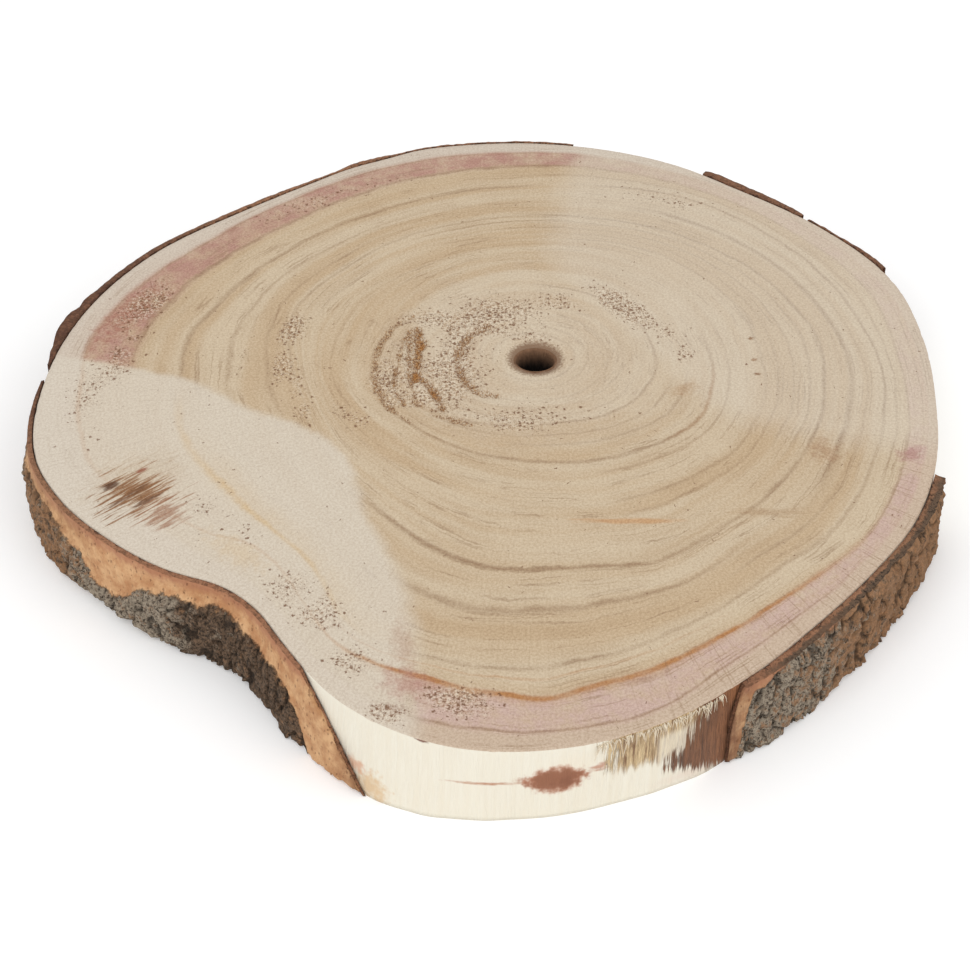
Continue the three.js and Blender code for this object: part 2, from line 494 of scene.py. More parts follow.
class Specks(Effect):
    """Scattered dark specks, where a density asks for them."""

    name = "specks"
    dimensions = "3D"
    inputs = (
        ("Place", "Vector", (0, 0, 0)),
        ("Density", "Float", 0.5),
        ("Size", "Float", 0.35),
    )
    outputs = (("Mask", "Float"),)

    def build(self, wiring: Wiring, given: bpy.types.NodeOutputs) -> dict[str, Socket]:
        """Wires the group.

        Args:
            wiring: The group's tree.
            given: The group's inputs.

        Returns:
            The mask, 1 in the middle of a speck.
        """
        coarse = {"Vector": given["Place"], "Scale": 1.7, "Detail": 1.0}
        warp = wiring.add("TexNoise", coarse, noise_dimensions=self.dimensions).outputs["Color"]
        shift = wiring.vector("MULTIPLY_ADD", warp, (0.9, 0.9, 0.9), given["Place"]).outputs[0]
        scattered = {"Vector": shift, "Scale": 1.0, "Randomness": 1.0}
        cells = wiring.add("TexVoronoi", scattered, voronoi_dimensions=self.dimensions)
        lot = wiring.add("SeparateColor", {0: cells.outputs["Color"]}).outputs
        kept = wiring.math("GREATER_THAN", given["Density"], lot[0])
        size = wiring.times(given["Size"], wiring.times_plus(lot[1], 0.8, 0.45))
        near = wiring.ease(cells.outputs["Distance"], size, wiring.times(size, 0.4))
        return {"Mask": wiring.times(near, kept)}


class FlatSpecks(Specks):
    """Specks on a flat face."""

    name = "flat_specks"
    dimensions = "2D"


class RingLine(Effect):
    """One growth line, which shows on one side of the pith, added to the lines before it."""

    name = "ring_line"
    inputs = (
        ("Sum", "Float", 0.0),
        ("Ring", "Float", 0.0),
        ("Direction", "Vector", (1, 0, 0)),
        ("At", "Float", 0.0),
        ("Half Width", "Float", 1.0),
        ("Facing", "Vector", (1, 0, 0)),
        ("Spread", "Float", 0.0),
        ("Strength", "Float", 1.0),
    )
    outputs = (("Sum", "Float"),)

    def build(self, wiring: Wiring, given: bpy.types.NodeOutputs) -> dict[str, Socket]:
        """Wires the group.

        Args:
            wiring: The group's tree.
            given: The group's inputs.

        Returns:
            The sum with this line in it.
        """
        away = wiring.math("ABSOLUTE", wiring.math("SUBTRACT", given["Ring"], given["At"]))
        body = wiring.ease(away, given["Half Width"], 0.0)
        facing = wiring.vector("DOT_PRODUCT", given["Direction"], given["Facing"]).outputs["Value"]
        inside = wiring.math("SUBTRACT", facing, given["Spread"])
        offset = wiring.times_plus(inside, 8.0, 0.4, clamp=True)
        sector = wiring.times(offset, given["Strength"])
        return {"Sum": wiring.times_plus(body, sector, given["Sum"])}


@dataclass(frozen=True)
class Line:
    """A growth line: where it lies in the rings, and where round the pith it shows.

    Attributes:
        ring: Its place in the ring field.
        half: Half of its width.
        strength: How dark it is.
        first: Bearing where it starts.
        last: Bearing where it ends.
    """

    ring: float
    half: float
    strength: float
    first: float = 0.0
    last: float = 360.0

    def facing(self) -> tuple[float, float, float]:
        """Direction of the middle of its stretch."""
        middle = math.radians((self.first + self.last) / 2)
        return (math.cos(middle), math.sin(middle), 0.0)

    def spread(self) -> float:
        """Cosine of half its stretch, or below any cosine for a full round."""
        half_span = (self.last - self.first) / 2
        return math.cos(math.radians(half_span)) if half_span < 179 else -2.0


@dataclass(frozen=True)
class Stain:
    """A coloured spot on a face.

    Attributes:
        centre: Its centre.
        reach: Half of its length and of its width.
        turn: Degrees that its length is turned from the first axis.
        colour: Its colour.
        strength: How strongly it colours the wood.
        softness: Share of its reach over which it fades.
        ragged: How ragged its edge is.
        weave: Fineness of the ragged edge along each axis.
    """

    centre: tuple[float, float]
    reach: tuple[float, float]
    turn: float
    colour: tuple[float, float, float, float]
    strength: float = 0.6
    softness: float = 0.6
    ragged: float = 0.3
    weave: tuple[float, float, float] = (0.5, 0.5, 0.5)

    def lay(self, wiring: Wiring, place: Socket, colour: Socket) -> Socket:
        """Lays the spot over a colour.

        Args:
            wiring: The material's tree.
            place: Place on the face.
            colour: The colour under it.

        Returns:
            The new colour.
        """
        turn = 0.0 if self.weave[0] == self.weave[1] else self.turn
        rag = wiring.woven_noise(place, turn, self.weave)
        mask = Spot().place(
            wiring,
            Place=place,
            Centre=(*self.centre, 0),
            Turn=math.radians(-self.turn),
            Reach=(*self.reach, FAR),
            Softness=self.softness,
            Ragged=wiring.times_plus(rag, 2.0 * self.ragged, -self.ragged),
        )["Mask"]
        return wiring.wash(colour, mask, self.strength, self.colour)


def new_material(name: str, roughness: float) -> tuple[bpy.types.Material, Wiring, bpy.types.Node]:
    """Starts a material on a plain shader.

    Args:
        name: The material's name.
        roughness: Its roughness where nothing feeds it.

    Returns:
        The material, its wiring and its shader.
    """
    material = bpy.data.materials.new(name)
    material.use_nodes = True
    wiring = Wiring(material.node_tree)
    wiring.tree.nodes.clear()
    shader = wiring.add("BsdfPrincipled", {"Roughness": roughness, "Specular IOR Level": SHEEN})
    output = wiring.add("OutputMaterial")
    wiring.tree.links.new(shader.outputs[0], output.inputs["Surface"])
    return material, wiring, shader


def raise_relief(wiring: Wiring, shader: bpy.types.Node, height: Socket, depth: float) -> None:
    """Feeds a height into the shader's normal.

    Args:
        wiring: The material's tree.
        shader: Its shader.
        height: The height, from 0 to 1.
        depth: Depth of the relief in millimetres.
    """
    bump = wiring.add("Bump", {"Height": height, "Distance": depth * MM, "Strength": 1.0})
    wiring.put(shader.inputs["Normal"], bump.outputs[0])


@dataclass(frozen=True)
class SawnFinish:
    """The sawn face: rings, pink band, pale zones, pores, burns and torn hollows."""

    pith: tuple[float, float]
    tan: tuple = tone(201, 176, 144)
    tan_light: tuple = tone(212, 193, 166)
    tan_deep: tuple = tone(172, 142, 108)
    pale: tuple = tone(221, 210, 194)
    rind: tuple = tone(216, 205, 195)
    rind_pink: tuple = tone(208, 187, 170)
    line: tuple = tone(146, 114, 84)
    amber: tuple = tone(182, 130, 84)
    straw: tuple = tone(212, 182, 138)
    pink: tuple = tone(206, 178, 166)
    pink_deep: tuple = tone(186, 144, 130)
    # Painted highlight and painted shade for the relief of torn grain, which the soft light barely shows.
    pore: tuple = tone(118, 80, 52)
    crumb_painted_highlight: tuple = tone(234, 220, 198)
    crumb_painted_shade: tuple = tone(152, 112, 78)
    torn_brown: tuple = tone(152, 116, 84)
    torn_amber: tuple = tone(168, 112, 54)
    torn_deep: tuple = tone(106, 70, 38)
    torn_light: tuple = tone(198, 158, 108)
    hollow: tuple = tone(132, 102, 78)
    lines: tuple[Line, ...] = (
        Line(13, 0.8, 0.30),
        Line(17.5, 0.6, 0.28, 250, 480),
        Line(25, 0.7, 0.25, 240, 430),
        Line(30, 0.5, 0.2, 200, 400),
        Line(36, 0.6, 0.3, 200, 330),
        Line(41, 0.7, 0.6, 230, 450),
        Line(46.5, 0.6, 0.35, 225, 345),
        Line(51, 0.7, 0.4, 260, 350),
        Line(59, 0.9, 0.6, 215, 372),
        Line(64, 0.7, 0.35, 290, 380),
        Line(70, 0.6, 0.2, 60, 200),
        Line(75, 0.8, 0.35, 290, 440),
        Line(79.5, 0.7, 0.35, 290, 440),
        Line(84.5, 0.7, 0.4, 330, 460),
        Line(90, 0.8, 0.45, 330, 480),
        Line(95, 1.0, 0.7, 332, 450),
        Line(95, 0.9, 0.75, 232, 296),
        Line(95, 1.0, 0.60, 300, 340),
        Line(94, 1.0, 0.35, 90, 185),
        Line(100, 0.8, 0.3, 130, 200),
        Line(105, 1.6, 0.7, 325, 425),
        Line(105, 1.0, 0.55, 245, 300),
        Line(108, 0.8, 0.35, 120, 190),
        Line(111, 0.8, 0.35, 300, 400),
        Line(118, 0.9, 0.7, 340, 440),
        Line(118, 1.0, 0.5, 90, 185),
        Line(118, 1.0, 0.35, 252, 340),
        Line(123, 0.8, 0.35, 330, 450),
        Line(128, 0.9, 0.5, 318, 442),
        Line(128, 1.0, 0.55, 82, 180),
        Line(140, 0.8, 0.65, 250, 310),
        Line(140, 0.7, 0.35, 82, 180),
        Line(137, 0.6, 0.3, 340, 440),
    )
    amber_lines: tuple[Line, ...] = (
        Line(128, 1.2, 0.95, 246, 308),
        Line(128.6, 2.6, 0.3, 250, 320),
        Line(121.5, 0.8, 0.4, 248, 290),
        Line(128, 0.9, 0.35, 211, 240),
        Line(140, 0.8, 0.4, 180, 207),
        Line(59, 0.9, 0.35, 320, 352),
    )
    straw_lines: tuple[Line, ...] = (
        Line(118, 1.1, 0.55, 195, 243),
        Line(116, 4.5, 0.22, 205, 250),
    )
    stains: tuple[Stain, ...] = (
        Stain((-112, -42), (24, 16), 42, tone(203, 184, 158), 0.5, 0.9, 0.6, (0.15, 0.8, 1)),
        Stain((-77, -76), (18, 7), -42, tone(216, 193, 160), 0.5, 0.9, 0.6, (0.3, 0.3, 1)),
        Stain((-110, -48), (13, 14), 42, tone(166, 126, 92), 0.75, 0.8, 1.6, (0.08, 0.9, 1)),
        Stain((-112, -49), (11, 10), 42, tone(138, 94, 58), 0.85, 0.8, 1.7, (0.08, 0.9, 1)),
        Stain((-120, -45), (4.5, 2.2), 42, tone(92, 58, 36), 0.95, 0.7, 0.8, (0.15, 0.8, 1)),
        Stain((-111, -47), (7, 1.6), 42, tone(120, 82, 54), 0.85, 0.8, 0.8, (0.15, 0.8, 1)),
        Stain((-108, -52.5), (7, 1.6), 42, tone(112, 74, 48), 0.85, 0.8, 0.8, (0.15, 0.8, 1)),
        Stain((-116, -52.5), (6, 1.3), 42, tone(116, 78, 52), 0.85, 0.8, 0.8, (0.15, 0.8, 1)),
        Stain((-111, -37.5), (3, 1.4), 42, tone(150, 86, 62), 0.8, 0.6, 0.5, (0.15, 0.8, 1)),
        Stain((-101, -58), (8, 8), 42, tone(166, 124, 100), 0.7, 0.8, 1.7, (0.08, 0.9, 1)),
        Stain((-124, 47), (26, 8.5), 62, tone(164, 106, 88), 0.65, 0.95, 0.9, (0.3, 0.3, 1)),
        Stain((-22, -134), (9, 11), 60, tone(178, 126, 114), 0.6, 0.95, 0.5, (0.3, 0.3, 1)),
        Stain((-24, -118), (5, 16), 8, tone(184, 150, 128), 0.45, 0.9, 0.5, (0.3, 0.3, 1)),
        Stain((-26, -144), (7, 3), -10, tone(140, 96, 84), 0.4, 0.9, 1.2, (1, 1, 1)),
        Stain((140, -29), (7, 4.5), 40, tone(178, 130, 126), 0.65, 0.8, 0.6, (0.3, 0.3, 1)),
        Stain((46, -62), (23, 2.0), 0, tone(198, 142, 86), 0.6, 0.8, 0.5, (0.1, 0.6, 1)),
        Stain((112, -28), (7, 9), 20, tone(170, 132, 100), 0.5, 0.9, 0.8, (0.3, 0.3, 1)),
        Stain((92, -58), (18, 3), 0, tone(168, 134, 98), 0.45, 0.9, 0.9, (0.1, 0.6, 1)),
        Stain((68, 5), (8, 4), 35, tone(176, 138, 100), 0.45, 0.9, 0.6, (0.3, 0.3, 1)),
        Stain((93, 33), (1.4, 1.2), 0, tone(140, 100, 66), 0.8, 0.8, 0.6, (1, 1, 1)),
        Stain((93, 21), (1.6, 1.2), 0, tone(150, 108, 74), 0.7, 0.8, 0.6, (1, 1, 1)),
        Stain((93.5, 13), (1.8, 1.2), 0, tone(140, 100, 66), 0.8, 0.8, 0.6, (1, 1, 1)),
    )

    def material(self) -> bpy.types.Material:
        """Builds the material.

        Returns:
            The material.
        """
        material, wiring, shader = new_material("sawn_wood", 0.72)
        place = wiring.place()
        flat = wiring.scale(place, (1, 1, 0))
        away = wiring.vector("SUBTRACT", flat, (*self.pith, 0)).outputs[0]
        distance = wiring.vector("LENGTH", away).outputs["Value"]
        direction = wiring.vector("NORMALIZE", away).outputs[0]
        waver = wiring.times_plus(wiring.noise(flat, 0.045, 2.0, flat=True), 2.4, -1.2)
        shiver = wiring.times_plus(wiring.noise(flat, 0.4, 2.0, flat=True), 0.8, -0.4)
        ring = wiring.math("ADD", wiring.attribute("ring"), wiring.math("ADD", waver, shiver))
        hazed = self.haze(wiring, flat)

        patchy = wiring.noise(flat, 0.05, 3.0, 0.6, flat=True)
        fine = self.banding(wiring, ring, direction, 1.1, 3.0)
        middling = self.banding(wiring, ring, direction, 0.34, 1.1)
        broad = self.banding(wiring, ring, direction, 0.11, 0.5)
        colour = wiring.mix(wiring.ease(broad, 0.36, 0.64), self.tan_light, self.tan)
        hem = wiring.times(wiring.ease(middling, 0.42, 0.68), wiring.ease(patchy, 0.3, 0.7))
        colour = wiring.wash(colour, hem, 0.26, self.tan_deep)
        thin = wiring.times(wiring.ease(fine, 0.5, 0.74), 0.12)
        colour = wiring.mix(thin, colour, self.tan_deep)
        colour = self.blush(wiring, colour, ring, direction, hazed, flat)
        seam = wiring.times(wiring.thread(middling, 0.44, 0.03), wiring.ease(patchy, 0.36, 0.62))
        colour = wiring.wash(colour, seam, 0.45, self.line)
        lines = self.ring_lines(wiring, self.lines, ring, direction, flat)
        shown = wiring.times(lines, wiring.times_plus(hazed, -0.1, 0.95))
        colour = wiring.mix(shown, colour, self.line)
        colour = wiring.wash(colour, hazed, 0.78, self.pale)
        for tuned, tint in ((self.amber_lines, self.amber), (self.straw_lines, self.straw)):
            colour = wiring.mix(self.ring_lines(wiring, tuned, ring, direction, flat), colour, tint)
        for stain in self.stains:
            colour = stain.lay(wiring, place, colour)

        rays = self.rays(wiring, direction, distance, ring)
        colour = wiring.wash(colour, rays, 0.4, self.line)
        cloth = wiring.noise(flat, 1.2, 4.0, 0.8, flat=True)
        grey = wiring.mix(wiring.ease(cloth, 0.34, 0.66), tone(90, 74, 60), tone(255, 252, 244))
        colour = wiring.mix(0.3, colour, grey, "SOFT_LIGHT")
        pores = self.pores(wiring, flat)
        # Painted highlights and painted shade of torn grain, where pores crowd.
        colour = self.crumbs(wiring, colour, flat)
        colour = wiring.wash(colour, pores, 0.85, self.pore)
        gouge = wiring.attribute("gouge")
        shreds = wiring.noise(wiring.scale(flat, (1.7, 0.9, 0)), 1.0, 4.0, 0.85, flat=True)
        broken = wiring.times_plus(shreds, 3.4, -1.7)
        inside = wiring.mix(wiring.ease(gouge, 0.6, 1.0), self.torn_brown, self.torn_amber)
        inside = wiring.mix(wiring.ease(cloth, 0.5, 0.6), inside, self.torn_deep)
        inside = wiring.mix(wiring.ease(cloth, 0.45, 0.36), inside, self.torn_light)
        ragged = wiring.ease(wiring.math("ADD", gouge, broken), 0.15, 0.6)
        shown = wiring.times(ragged, wiring.ease(gouge, 0.02, 0.3))
        colour = wiring.mix(shown, colour, inside)
        lip = wiring.ease(wiring.times_plus(cloth, 4.6, distance), 13.2, 10.2)
        colour = wiring.wash(colour, lip, 0.9, self.hollow)
        wiring.put(shader.inputs["Base Color"], colour)

        height = wiring.times_plus(fine, 0.4, wiring.times(cloth, 0.8))
        raise_relief(wiring, shader, height, 0.25)
        return material

    def haze(self, wiring: Wiring, flat: Socket) -> Socket:
        """Works out where the face is pale.

        Args:
            wiring: The material's tree.
            flat: Place on the face.

        Returns:
            The share of the pale colour.
        """
        drift = wiring.times_plus(wiring.noise(flat, 0.12, 4.0, 0.6, flat=True), 8.0, -4.0)
        lower = wiring.ease(wiring.add("SeparateXYZ", {0: flat}).outputs[1], -40.0, -130.0)
        width = wiring.times_plus(lower, 3.0, 2.0)
        side = wiring.times_plus(drift, 0.5, wiring.attribute("haze_left"))
        left = wiring.ease(wiring.math("DIVIDE", side, width), -1.0, 1.2)
        right = wiring.ease(wiring.math("ADD", wiring.attribute("haze_right"), drift), -7.0, 10.0)
        inner = wiring.ease(wiring.times_plus(drift, 3.0, wiring.attribute("ring")), 66.0, 28.0)
        inner = wiring.times(inner, 0.4)
        right = wiring.times(right, 0.55)
        return wiring.math("MAXIMUM", left, wiring.math("MAXIMUM", right, inner))

    def banding(self, wiring: Wiring, ring: Socket, direction: Socket, pace: float, swirl: float) -> Socket:
        """Noise that changes from ring to ring, and slowly along each.

        Args:
            wiring: The material's tree.
            ring: The ring field.
            direction: Direction from the pith.
            pace: Bands to a millimetre.
            swirl: How much a band changes round the pith.

        Returns:
            The value.
        """
        around = wiring.scale(direction, (swirl, swirl, 0))
        across = wiring.add("CombineXYZ", {2: wiring.times(ring, pace)}).outputs[0]
        return wiring.noise(wiring.vector("ADD", around, across).outputs[0], 1.0, 2.0, 0.6)

    def ring_lines(
        self, wiring: Wiring, lines: tuple[Line, ...], ring: Socket, direction: Socket, flat: Socket
    ) -> Socket:
        """Adds up growth lines.

        Args:
            wiring: The material's tree.
            lines: The lines.
            ring: The ring field.
            direction: Direction from the pith.
            flat: Place on the face.

        Returns:
            How dark the lines are.
        """
        total = 0.0
        for line in lines:
            total = RingLine().place(
                wiring,
                Sum=total,
                Ring=ring,
                Direction=direction,
                At=line.ring,
                Half_Width=line.half * 1.25,
                Facing=line.facing(),
                Spread=line.spread(),
                Strength=line.strength,
            )["Sum"]
        uneven = wiring.times_plus(wiring.noise(flat, 0.09, 3.0, 0.6, flat=True), 1.5, 0.1)
        return wiring.times(wiring.math("MINIMUM", total, 1.0), uneven, clamp=True)

    def blush(
        self, wiring: Wiring, colour: Socket, ring: Socket, direction: Socket, hazed: Socket, flat: Socket
    ) -> Socket:
        """Lays the pink outer band on, where the face isn't pale, and the greyish strip outside it.

        Args:
            wiring: The material's tree.
            colour: The colour under it.
            ring: The ring field.
            direction: Direction from the pith.
            hazed: Where the face is pale.
            flat: Place on the face.

        Returns:
            The new colour.
        """
        band = wiring.times(wiring.ease(ring, 126.0, 130.0), wiring.ease(ring, 143.0, 139.0))
        clear = wiring.ease(hazed, 0.9, 0.3)
        uneven = wiring.times_plus(wiring.noise(flat, 0.1, 4.0, 0.75, flat=True), 2.0, -0.25)
        share = wiring.times(wiring.times(band, clear), uneven, clamp=True)
        facing = wiring.vector("DOT_PRODUCT", direction, (-0.8, 0.6, 0)).outputs["Value"]
        back = wiring.ease(facing, -0.3, 0.5)
        outer = wiring.times(wiring.ease(ring, 138.5, 142.0), 0.65)
        colour = wiring.mix(outer, colour, wiring.mix(back, self.rind_pink, self.rind))
        return wiring.mix(share, colour, wiring.mix(back, self.pink, self.pink_deep))

    def rays(self, wiring: Wiring, direction: Socket, distance: Socket, ring: Socket) -> Socket:
        """Fine cracks that run out from the pith, strongest in the outer band at the front.

        Args:
            wiring: The material's tree.
            direction: Direction from the pith.
            distance: Distance from the pith.
            ring: The ring field.

        Returns:
            How dark they are.
        """
        spokes = wiring.scale(direction, (230, 230, 0))
        along = wiring.add("CombineXYZ", {2: wiring.times(distance, 0.07)}).outputs[0]
        drawn_out = wiring.vector("ADD", spokes, along).outputs[0]
        thin = wiring.ease(wiring.noise(drawn_out, 1.0, 1.0, 0.4), 0.54, 0.76)
        facing = wiring.vector("DOT_PRODUCT", direction, (0.64, -0.77, 0)).outputs["Value"]
        front = wiring.times(wiring.ease(ring, 122.0, 130.0), wiring.ease(facing, 0.78, 0.95))
        everywhere = wiring.times(wiring.ease(distance, 40.0, 110.0), 0.25)
        return wiring.times(thin, wiring.math("MAXIMUM", front, everywhere))

    def pores(self, wiring: Wiring, flat: Socket) -> Socket:
        """Dark open pores, crowded where the mesh says so.

        Args:
            wiring: The material's tree.
            flat: Place on the face.

        Returns:
            The pores' mask.
        """
        pits = wiring.attribute("pits")
        total = 0.0
        fewer = wiring.times(pits, 0.8)
        kinds = ((0.72, pits, 0.46, 1.0), (1.5, fewer, 0.5, 0.7), (0.45, 0.04, 0.15, 1.0))
        for pace, density, size, strength in kinds:
            place = wiring.scale(flat, (pace, pace, 0))
            mask = FlatSpecks().place(wiring, Place=place, Density=density, Size=size)["Mask"]
            total = wiring.math("MAXIMUM", total, wiring.times(mask, strength))
        return total

    def crumbs(self, wiring: Wiring, colour: Socket, flat: Socket) -> Socket:
        """Paints the relief of torn grain on the parts with crowded pores: light flecks as painted
        highlights, brown flecks as painted shade.

        Args:
            wiring: The material's tree.
            colour: The colour under it.
            flat: Place on the face.

        Returns:
            The new colour.
        """
        crowd = wiring.ease(wiring.attribute("pits"), 0.0, 0.6)
        crumb = wiring.noise(flat, 0.85, 4.0, 0.88, flat=True)
        # Light flecks are painted highlights, brown flecks painted shade.
        highlight_share = wiring.times(crowd, wiring.ease(crumb, 0.49, 0.41))
        shade_share = wiring.times(crowd, wiring.ease(crumb, 0.53, 0.6))
        colour = wiring.wash(colour, highlight_share, 0.7, self.crumb_painted_highlight)
        return wiring.wash(colour, shade_share, 0.8, self.crumb_painted_shade)


@dataclass(frozen=True)
class EdgeFinish:
    """The bare edge of the disc: smooth cream wood, a knot, and brown torn fibres near the bark."""

    pith: tuple[float, float]
    cream: tuple = tone(240, 234, 218)
    shade: tuple = tone(230, 217, 193)
    fibre_light: tuple = tone(234, 204, 154)
    fibre_tan: tuple = tone(140, 94, 52)
    fibre_brown: tuple = tone(158, 102, 66)
    fibre_dark: tuple = tone(86, 52, 34)
    bark_ends: tuple[float, ...] = (335.6, 381.6, 399.9, 421.0, 441.4)
    stains: tuple[Stain, ...] = (
        Stain((272.5, 22), (3.4, 6.5), 0, tone(240, 225, 200), 0.3, 0.9, 0.3, (1.2, 0.3, 1)),
        Stain((253.6, 4.0), (2.4, 7.5), 0, tone(222, 190, 148), 0.85, 0.8, 0.7, (1.2, 0.3, 1)),
        Stain((251.8, 9.5), (1.8, 4.0), 0, tone(222, 172, 140), 0.8, 0.9, 0.7, (1.2, 0.3, 1)),
        Stain((264.8, 15.9), (5.2, 0.8), 2, tone(186, 128, 96), 0.85, 0.9, 0.6, (0.8, 0.8, 1)),
        Stain((275.2, 18.6), (1.3, 2.4), -8, tone(190, 134, 108), 0.8, 0.8, 0.6, (0.8, 0.8, 1)),
        Stain((271.1, 16.3), (3.3, 7.0), 0, tone(194, 136, 108), 0.85, 0.4, 0.3, (1.2, 0.3, 1)),
        Stain((270.9, 16.9), (4.3, 3.2), 0, tone(180, 122, 94), 0.9, 0.5, 0.4, (1.2, 0.3, 1)),
        Stain((271.1, 16.2), (3.1, 5.9), 0, tone(148, 98, 73), 0.95, 0.45, 0.4, (1.2, 0.3, 1)),
        Stain((271.8, 15.2), (1.6, 3.4), 0, tone(132, 84, 62), 0.6, 0.9, 0.9, (1.2, 0.3, 1)),
        Stain((258.6, 30.0), (0.9, 1.4), 0, tone(120, 70, 52), 0.9, 0.5, 0.5, (1.2, 0.3, 1)),
        Stain((286, 3), (7, 4), 0, tone(228, 206, 190), 0.5, 0.9, 0.3, (1.2, 0.3, 1)),
        # Painted shade: a near-black brown stripe on the wood in the narrow gap between the two left bark
        # patches.
        Stain((183, 15), (3.4, 60), 0, tone(92, 58, 42), 0.95, 0.2, 0.2, (1.2, 0.3, 1)),
    )

    def material(self) -> bpy.types.Material:
        """Builds the material.

        Returns:
            The material.
        """
        material, wiring, shader = new_material("bare_edge", 0.7)
        place = wiring.place()
        strands = Fibres().place(wiring, Place=place, Across=1.1, Along=0.05)
        colour = wiring.mix(wiring.times(strands["Value"], 0.35), self.cream, self.shade)
        wall = self.wall_place(wiring, place)
        for stain in self.stains:
            colour = stain.lay(wiring, wall, colour)
        for bearing in self.bark_ends:
            trace = Stain((bearing, MIDDLE), (2.8, 60), 0, self.fibre_brown, 0.8, 0.9, 1.1, (1.2, 0.3, 1))
            colour = trace.lay(wiring, wall, colour)
        colour, torn = self.torn_fibres(wiring, wall, place, colour)
        wiring.put(shader.inputs["Base Color"], colour)
        shallow = wiring.times(strands["Height"], 0.25)
        coarse = Fibres().place(wiring, Place=place, Across=1.9, Along=0.10)["Height"]
        height = wiring.times_plus(coarse, torn, shallow)
        raise_relief(wiring, shader, height, 0.5)
        return material

    def wall_place(self, wiring: Wiring, place: Socket) -> Socket:
        """Place on the edge, as bearing and height.

        Args:
            wiring: The material's tree.
            place: Place on the object.

        Returns:
            The bearing from 90 to 450 degrees and the height in millimetres.
        """
        away = wiring.vector("SUBTRACT", place, (*self.pith, 0)).outputs[0]
        parts = wiring.add("SeparateXYZ", {0: away}).outputs
        turn = wiring.math("ARCTAN2", parts[0], wiring.times(parts[1], -1.0))
        bearing = wiring.times_plus(turn, 180 / math.pi, 270.0)
        return wiring.add("CombineXYZ", {0: bearing, 1: parts[2]}).outputs[0]

    def torn_fibres(
        self, wiring: Wiring, wall: Socket, place: Socket, colour: Socket
    ) -> tuple[Socket, Socket]:
        """Lays the patch of torn fibres on: tan strands first, and a brown patch next to the bark.

        Args:
            wiring: The material's tree.
            wall: Place on the edge.
            place: Place on the object.
            colour: The colour under it.

        Returns:
            The new colour, and how torn the wood is.
        """
        strand = Fibres().place(wiring, Place=place, Across=2.4, Along=0.09)["Value"]
        strand = wiring.ease(strand, 0.1, 0.9)
        bearing, height, _ = wiring.add("SeparateXYZ", {0: wall}).outputs
        streaks = wiring.noise(wiring.scale(wall, (2.6, 0.05, 0)), 1.0, 3.0, 0.6, flat=True)
        hem = wiring.times_plus(streaks, 10.0, -5.0)
        waves = wiring.noise(wiring.scale(wall, (0.35, 0.16, 0)), 1.0, 3.0, flat=True)
        swell = wiring.times_plus(waves, 8.0, -4.0)
        turn = wiring.math("ADD", wiring.times_plus(swell, 0.16, bearing),
                           wiring.times_plus(strand, 2.4, -1.2))
        tan_foot = wiring.math("ADD", hem, wiring.times_plus(bearing, -0.3, 97.5))
        lower = wiring.times_plus(swell, 0.4, height)
        above = wiring.ease(wiring.math("SUBTRACT", lower, tan_foot), -2.0, 3.0)
        tan_share = wiring.times(above, wiring.ease(turn, 275.2, 276.6))
        tan_share = wiring.times(tan_share, wiring.ease(bearing, 294.0, 292.0))
        gap = wiring.times(wiring.ease(height, 26.0, 22.0), wiring.ease(bearing, 280.5, 281.5))
        tan_share = wiring.times(tan_share, wiring.times_plus(gap, -0.6, 1.0))
        tan_mix = wiring.mix(wiring.math("POWER", strand, 0.7), self.fibre_tan, self.fibre_light)
        colour = wiring.wash(colour, tan_share, 0.9, tan_mix)
        start = wiring.times_plus(wiring.ease(height, 10.0, 24.0), 3.0, 282.2)
        brown_foot = wiring.times_plus(hem, 0.25, wiring.times_plus(turn, -1.33, 383.7))
        beside = wiring.ease(wiring.math("SUBTRACT", turn, start), -0.5, 0.7)
        above = wiring.ease(wiring.math("SUBTRACT", height, brown_foot), -1.5, 1.5)
        brown_share = wiring.times(beside, above)
        finish = wiring.ease(bearing, 294.0, 292.0)
        brown_share = wiring.times(brown_share, finish)
        warm = wiring.times_plus(wiring.ease(bearing, 286.0, 289.0), 0.4, -0.4)
        body = wiring.times_plus(streaks, 1.2, wiring.times_plus(strand, 0.4, warm))
        brown = wiring.mix(body, self.fibre_dark, self.fibre_brown)
        colour = wiring.wash(colour, brown_share, 0.95, brown)
        return colour, wiring.times(wiring.math("MAXIMUM", tan_share, brown_share), finish)


@dataclass(frozen=True)
class HollowFinish:
    """The wall of the pith hollow: brown near its mouths, darkened to near black deeper in by painted shade;
    soft and fibrous.
    """

    light: tuple = tone(154, 116, 88)
    # Near black: painted shade deep in the hollow, also laid thinly on the strands.
    dark: tuple = tone(22, 15, 10)

    def material(self) -> bpy.types.Material:
        """Builds the material.

        Returns:
            The material.
        """
        material, wiring, shader = new_material("pith_wall", 0.95)
        place = wiring.place()
        strands = Fibres().place(wiring, Place=place, Across=1.3, Along=0.2)
        height = wiring.add("SeparateXYZ", {0: place}).outputs[2]
        middle = wiring.math("ABSOLUTE", wiring.math("SUBTRACT", height, MIDDLE))
        # Painted shade: the wall fades from brown at the mouths to near black towards the middle of the
        # hollow.
        unshaded_near_mouth = wiring.ease(wiring.times_plus(strands["Value"], 2.0, middle), 7.5, 16.5)
        base = wiring.mix(unshaded_near_mouth, self.dark, self.light)
        shaded = wiring.wash(base, strands["Value"], 0.3, self.dark)
        wiring.put(shader.inputs["Base Color"], shaded)
        raise_relief(wiring, shader, strands["Height"], 0.4)
        return material


